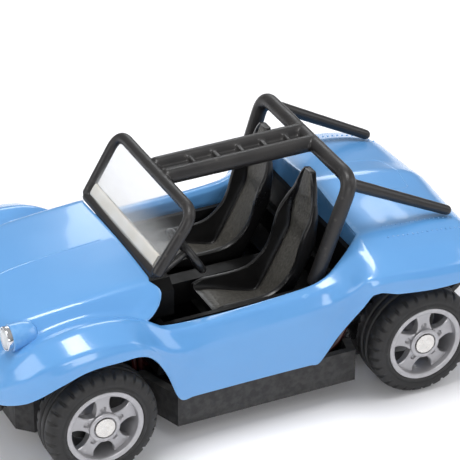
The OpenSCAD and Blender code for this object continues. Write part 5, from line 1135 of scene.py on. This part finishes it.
# ---------- wheels ----------
@dataclass
class RoadWheel:
    """Rim with five broad spokes, and a grooved tyre. The outer face is at y = 0 and the inside is at -y."""

    plan: Plan
    name: str
    body: str
    x: float
    side: int
    width: float
    rim_r: float = 4.5
    hub_r: float = 1.75
    notches: int = 30

    def to_car(self, points: Array) -> Array:
        """Turns (radius plane u, v, height w along the outward axis) into the car's frame."""
        p = self.plan
        across = self.side * (p.wheel_y + points[..., 2])
        return np.stack([self.x + points[..., 0], across, p.axle_z + points[..., 1]], axis=-1)

    def placed(self, solid: Solid) -> Solid:
        """A wheel part in the car's frame, with its faces outwards."""
        made = Solid(faces=[f if self.side == RIGHT else f[::-1] for f in solid.faces], count=solid.count)
        made.points = [self.to_car(block) for block in solid.points]
        return made

    def tyre(self) -> Solid:
        """Tyre with two grooves round its tread and a notch at each block of its shoulders."""
        w, r, rim = self.width, self.plan.tyre_r, self.rim_r
        half = [(rim - 0.2, -0.82), (rim - 0.02, -0.72), (rim + 0.02, -0.22), (rim + 0.1, -0.06),
                (rim + 0.3, 0.0), (rim + 0.42, -0.05), (rim + 0.5, -0.13), (rim + 0.62, -0.13),
                (rim + 0.74, -0.06), (r - 0.95, -0.1),
                (r - 0.62, -0.2), (r - 0.33, -0.4), (r - 0.14, -0.68), (r - 0.03, -1.0), (r, -1.3),
                (r, -w * 0.35), (r - 0.04, -w * 0.365), (r - 0.24, -w * 0.38), (r - 0.24, -w * 0.42),
                (r - 0.04, -w * 0.435), (r, -w * 0.45)]
        profile = np.array(half + [(a, -w - b) for a, b in half[::-1]])
        sides = self.notches * 12
        grid = revolve(profile, sides, closed=True)
        radius, height = np.linalg.norm(grid[..., :2], axis=-1), grid[..., 2]
        phase = (np.arange(sides) % 12) / 12
        notch = smooth(0.16, 0.06, np.abs(phase - 0.5))[None, :]
        depth = np.minimum(-height, height + w)
        where = smooth(r - 0.75, r - 0.4, radius) * smooth(1.3, 1.1, depth)
        cut = 0.24 * notch * where
        grid[..., :2] *= ((radius - cut) / radius)[..., None]
        grid[..., 2] += cut * 0.5 * np.where(height > -w / 2, -1, 1) * smooth(1.0, 0.4, depth)
        return Solid().grid(grid, wrap=True)

    def rim(self) -> Solid:
        """Barrel, lip and hub, turned in one."""
        w, r = self.width, self.rim_r
        barrel = [(r, -0.14), (r - 0.05, -0.1), (r - 0.42, -0.1), (r - 0.58, -0.2), (r - 0.66, -0.42),
                  (r - 0.72, -1.0),
                  (r - 0.75, -w + 0.4), (r - 0.7, -w + 0.3), (r - 0.3, -w + 0.3), (r - 0.25, -w + 0.38),
                  (r - 0.25, -0.86), (r - 0.02, -0.82)]
        hub = [(1.3, -0.2), (1.36, -0.14), (self.hub_r - 0.12, -0.14), (self.hub_r + 0.02, -0.24),
               (self.hub_r + 0.06, -0.6),
               (self.hub_r, -w + 0.36), (self.hub_r - 0.08, -w + 0.3), (0.62, -w + 0.3), (0.62, -0.62),
               (1.3, -0.62)]
        return turned(barrel, 128, closed=True).join(turned(hub, 72, closed=True))

    def spokes(self) -> Solid:
        """Five spokes, flared into the lip, each with a small nut's recess at its root.

        A spoke's half width is 0.66 mm, and grows by 0.35 mm at the hub and by 0.82 mm at the lip, so that
        the windows between have round outer corners. Its face falls by 0.28 mm from the hub to the lip.
        """
        made = Solid()
        r = np.linspace(self.hub_r - 0.25, self.rim_r - 0.6, 22)
        share = (r - r[0]) / (r[-1] - r[0])
        half = 0.66 + 0.1 * share + 0.72 * share ** 5 + 0.35 * (1 - share) ** 4
        t = np.linspace(-1, 1, 17)
        dish = 0.28 * np.sin(math.pi * share * 0.5)
        for i in range(5):
            a = math.pi / 2 + 2 * math.pi * (i + 0.5 * (self.side < 0)) / 5
            c, s = math.cos(a), math.sin(a)
            u, v = np.broadcast_to(r[:, None], (r.size, t.size)), half[:, None] * t
            edge = 0.1 * np.clip((np.abs(t) - 0.82) / 0.18, 0, 1) ** 2
            hole = 0.3 * smooth(0.34, 0.24, np.hypot(u - self.hub_r - 0.35, v))
            top = -0.44 - dish[:, None] - edge - hole - 0.06 * (1 - t ** 2)
            sheets = []
            for z in (top, np.full_like(top, -1.5)):
                sheets.append(np.stack([u * c - v * s, u * s + v * c, z], axis=-1))
            loop = np.concatenate([sheets[0], sheets[1][:, ::-1]], axis=1)
            made.add(loop, [f[::-1] for f in Solid().grid(loop, wrap=True, caps=True).faces])
        return made

    def build(self) -> None:
        """Makes the tyre and the rim."""
        make_piece(f"{self.name}_tyre", self.placed(self.tyre()), self.body, "tyre_black",
                   (self.name.replace("_", "_tyre_"),), sharp=48)
        rim = self.rim().join(self.spokes())
        make_piece(f"{self.name}_rim", self.placed(rim), self.body, "rim_silver",
                   (self.name.replace("_", "_rim_"),), sharp=38)


# ---------- lamps, bumpers and pipes ----------
@dataclass
class Lamps:
    """Headlights in their pods and the tail lights."""

    plan: Plan

    def build(self) -> None:
        """Makes a bezel, a lens and a tail light for each side."""
        p = self.plan
        a = np.linspace(0, math.pi, 13)
        for side, name in ((LEFT, "left"), (RIGHT, "right")):
            at = (p.front_x + 8.3, side * (p.bonnet_y - 0.2), p.wing_z - 1.8)
            lip = [(1.275 + 0.125 * math.cos(t), 0.28 + 0.12 * math.sin(t)) for t in a]
            bezel = [(0.72, -0.55), (1.36, -0.55), (1.4, -0.5)] + lip
            bezel += [(1.13, 0.1), (0.9, -0.02), (0.72, -0.08)]
            make_piece(f"bezel_{name}", place(turned(bezel, 72, closed=True), (1, 0, 0), at), "chassis",
                       "lamp_silver", (f"headlight_bezel_{name}",))
            r = np.linspace(0, 1.12, 15)
            dome = [(0, 0.1)] + [(q, 0.1) for q in (0.4, 0.8, 1.12)]
            dome += [(q, 0.3 + 0.34 * math.sqrt(max(1 - (q / 1.13) ** 2, 0.0))) for q in r[::-1]]
            make_piece(f"lens_{name}", place(turned(dome, 72), (1, 0, 0), at), "chassis", "lamp_clear",
                       (f"headlight_lens_{name}",))
            tail = [(0, -0.6), (1.2, -0.6), (1.2, 0.22), (1.14, 0.34)]
            tail += [(q, 0.34 + 0.3 * math.sqrt(max(1 - (q / 1.08) ** 2, 0.0)))
                     for q in np.linspace(0, 1.05, 12)[::-1]]
            spot = (p.tail_x - 0.05, side * 7.6, p.arch_z - 2.2)
            make_piece(f"tail_lamp_{name}", place(turned(tail, 64), (-1, 0, 0), spot), "chassis", "lamp_red",
                       (f"tail_light_{name}",))


@dataclass
class Bumpers:
    """Round bumper bars on their brackets, and the two exhaust pipes."""

    plan: Plan
    d: float = 1.4
    width: float = 19.0

    def bar(self, x: float, z: float, way: int, bracket_y: float, pan: float) -> Solid:
        """A bar whose ends turn in, with two brackets that reach the pan."""
        inner, h = x - way * 2.2, self.width / 2
        path = bend([(inner, -h, z), (x, -h + 1, z), (x, h - 1, z), (inner, h, z)], 1.4)
        made = tube(path, self.d, self.d, 28, cap=0.8)
        for y in (-bracket_y, bracket_y):
            low, high = sorted((x - way * 0.2, pan))
            foot, head = (self.plan.floor_z + 1.6, z) if way > 0 else (z, self.plan.floor_z + 1.6)
            points = []
            for at, rise in ((low, foot), (high, head)):
                points += [(at, y + j, rise + k)
                           for j, k in ((-0.5, -0.45), (0.5, -0.45), (0.5, 0.45), (-0.5, 0.45))]
            made.add(points, [[3, 2, 1, 0], [4, 5, 6, 7], [0, 1, 5, 4],
                              [1, 2, 6, 5], [2, 3, 7, 6], [3, 0, 4, 7]])
        return made

    def build(self) -> None:
        """Makes both bumpers and the pipes."""
        p = self.plan
        make_piece("bumper_front", self.bar(p.nose_x + 0.4, p.arch_z - 6.8, 1, 4, p.nose_x - 4.0), "chassis",
                   "bumper_black", ("front_bumper",), Edge.MOULDED, 0.12)
        make_piece("bumper_rear", self.bar(p.tail_x - 3.1, p.arch_z - 6.0, -1, 6, p.tail_x + 2.8), "chassis",
                   "bumper_black", ("rear_bumper",), Edge.MOULDED, 0.12)
        profile = [(0.45, 0.04), (0.5, 0.0), (0.7, 0.0), (0.75, 0.06), (0.75, 6.4), (0.7, 6.5), (0, 6.5),
                   (0, 2.6), (0.45, 2.6)]
        pipes = Solid()
        for side in (LEFT, RIGHT):
            pipes.join(place(turned(profile, 56, closed=True), (1, 0, 0), (p.tail_x - 3.5, side * 2.6, 5.4)))
        make_piece("pipes", pipes, "chassis", "exhaust_silver", ("exhaust_pipes",))


# ---------- frame pieces and studio ----------
def dress_frame() -> None:
    """Gives each CAD node its own slot's material."""
    slots = {entry["node"]: entry["material_slot"] for entry in frame["record"]["subparts"]}
    for name, node in frame["nodes"].items():
        for holder in node.material_slots:
            holder.link = "OBJECT"
            holder.material = MATERIALS[slots[name]]


@dataclass(frozen=True)
class SoftLight:
    """One area light of the studio: where it stands, its size in metres, its power and its colour."""

    name: str
    at: Point
    size: tuple[float, float]
    power: float
    colour: tuple[float, float, float] = (1.0, 1.0, 1.0)


@dataclass
class Studio:
    """Pale floor, soft lights, even surroundings and the camera."""

    target: Point = (-2.03, 0.0, 16.94)
    azimuth: float = 25.35
    elevation: float = 30.53
    distance: float = 327.09
    lens: float = 226.3
    lights: tuple[SoftLight, ...] = (
        SoftLight("key", (0.04, 0.0, 0.42), (0.16, 0.16), 1.15),
        SoftLight("far_left", (-0.34, 0.12, 0.20), (0.26, 0.20), 0.35, (0.97, 0.98, 1.0)),
        SoftLight("front_right", (0.36, -0.06, 0.16), (0.20, 0.18), 0.35, (1.0, 0.99, 0.97)),
        SoftLight("low_side", (0.08, 0.38, 0.14), (0.30, 0.10), 0.5),
        SoftLight("back", (-0.20, -0.38, 0.24), (0.20, 0.12), 0.3, (0.96, 0.98, 1.0)))

    def floor(self) -> None:
        """Wide floor under the wheels, close to white, with a faint lilac in its shade."""
        mesh = bpy.data.meshes.new("floor")
        reach = 4.0
        mesh.from_pydata([(-reach, -reach, 0), (reach, -reach, 0), (reach, reach, 0), (-reach, reach, 0)], [],
                         [(0, 1, 2, 3)])
        floor = bpy.data.objects.new("floor", mesh)
        bpy.context.scene.collection.objects.link(floor)
        material = bpy.data.materials.new("studio_floor")
        material.use_nodes = True
        bench = NodeBench(material.node_tree)
        shader = next(n for n in material.node_tree.nodes if n.type == "BSDF_PRINCIPLED")
        at = bench.add("ShaderNodeTexCoord").outputs["Object"]
        cloud = bench.add("ShaderNodeTexNoise", {"Vector": at, "Scale": 9.0, "Detail": 2.0}).outputs[0]
        material.node_tree.links.new(bench.blend(cloud, shade(250, 250, 252), shade(247, 247, 251)),
                                     shader.inputs["Base Color"])
        shader.inputs["Roughness"].default_value = 0.75
        mesh.materials.append(material)

    def surroundings(self) -> None:
        """Even light from all round, a little darker low down, so that gloss has a horizon to mirror."""
        scene = bpy.context.scene
        world = bpy.data.worlds.new("studio")
        scene.world = world
        world.use_nodes = True
        bench = NodeBench(world.node_tree)
        background = next(n for n in world.node_tree.nodes if n.type == "BACKGROUND")
        way = bench.add("ShaderNodeTexCoord").outputs["Generated"]
        up = bench.add("ShaderNodeSeparateXYZ", {0: way}).outputs["Z"]
        high = bench.add("ShaderNodeMapRange", {0: up, 1: -0.05, 2: 0.7, 3: 0.35, 4: 1.0}).outputs[0]
        white = bench.blend(high, (0.0, 0.0, 0.0, 1.0), (1.0, 1.0, 1.0, 1.0))
        world.node_tree.links.new(white, background.inputs["Color"])
        background.inputs["Strength"].default_value = 0.5
        scene.view_settings.view_transform = "Standard"
        scene.view_settings.look = "None"

    def build(self) -> None:
        """Makes the camera, the lights, the surroundings and the floor."""
        scene = bpy.context.scene
        target = Vector(self.target) * MM
        a, e = math.radians(self.azimuth), math.radians(self.elevation)
        back = Vector((math.sin(a) * math.cos(e), math.cos(a) * math.cos(e), math.sin(e)))
        camera = bpy.data.objects.new("camera", bpy.data.cameras.new("camera"))
        scene.collection.objects.link(camera)
        camera.location = target + back * self.distance * MM
        camera.rotation_euler = (-back).to_track_quat("-Z", "Y").to_euler()
        camera.data.lens, camera.data.sensor_width = self.lens, 36.0
        camera.data.clip_start, camera.data.clip_end = 0.01, 20.0
        scene.camera = camera
        for entry in self.lights:
            lamp = bpy.data.lights.new(entry.name, "AREA")
            lamp.shape, lamp.energy, lamp.color = "RECTANGLE", entry.power, entry.colour
            lamp.size, lamp.size_y = entry.size
            light = bpy.data.objects.new(entry.name, lamp)
            scene.collection.objects.link(light)
            light.location = entry.at
            light.rotation_euler = (target - light.location).to_track_quat("-Z", "Y").to_euler()
        self.surroundings()
        self.floor()


def main() -> None:
    """Builds the finishes, the pieces and the studio."""
    logging.basicConfig(level=logging.INFO, format="%(name)s %(message)s")
    shop = FinishShop()
    for name, finish in FINISHES.items():
        MATERIALS[name] = shop.make(name, finish)
    plan = Plan.from_frame()
    Studio().build()
    BodyShell(plan).build()
    cage = RollCage(plan)
    cage.build()
    Windscreen(cage).build()
    for side in (LEFT, RIGHT):
        Seat(plan, side).build()
    SteeringWheel(plan).build()
    for side, name in ((LEFT, "left"), (RIGHT, "right")):
        RoadWheel(plan, f"rear_{name}", "rear_wheels", plan.rear_x, side, 5.4).build()
        RoadWheel(plan, f"front_{name}", f"front_wheel_{name}", plan.front_x, side, 4.8).build()
    Lamps(plan).build()
    Bumpers(plan).build()
    dress_frame()


if __name__ == "__main__":
    main()
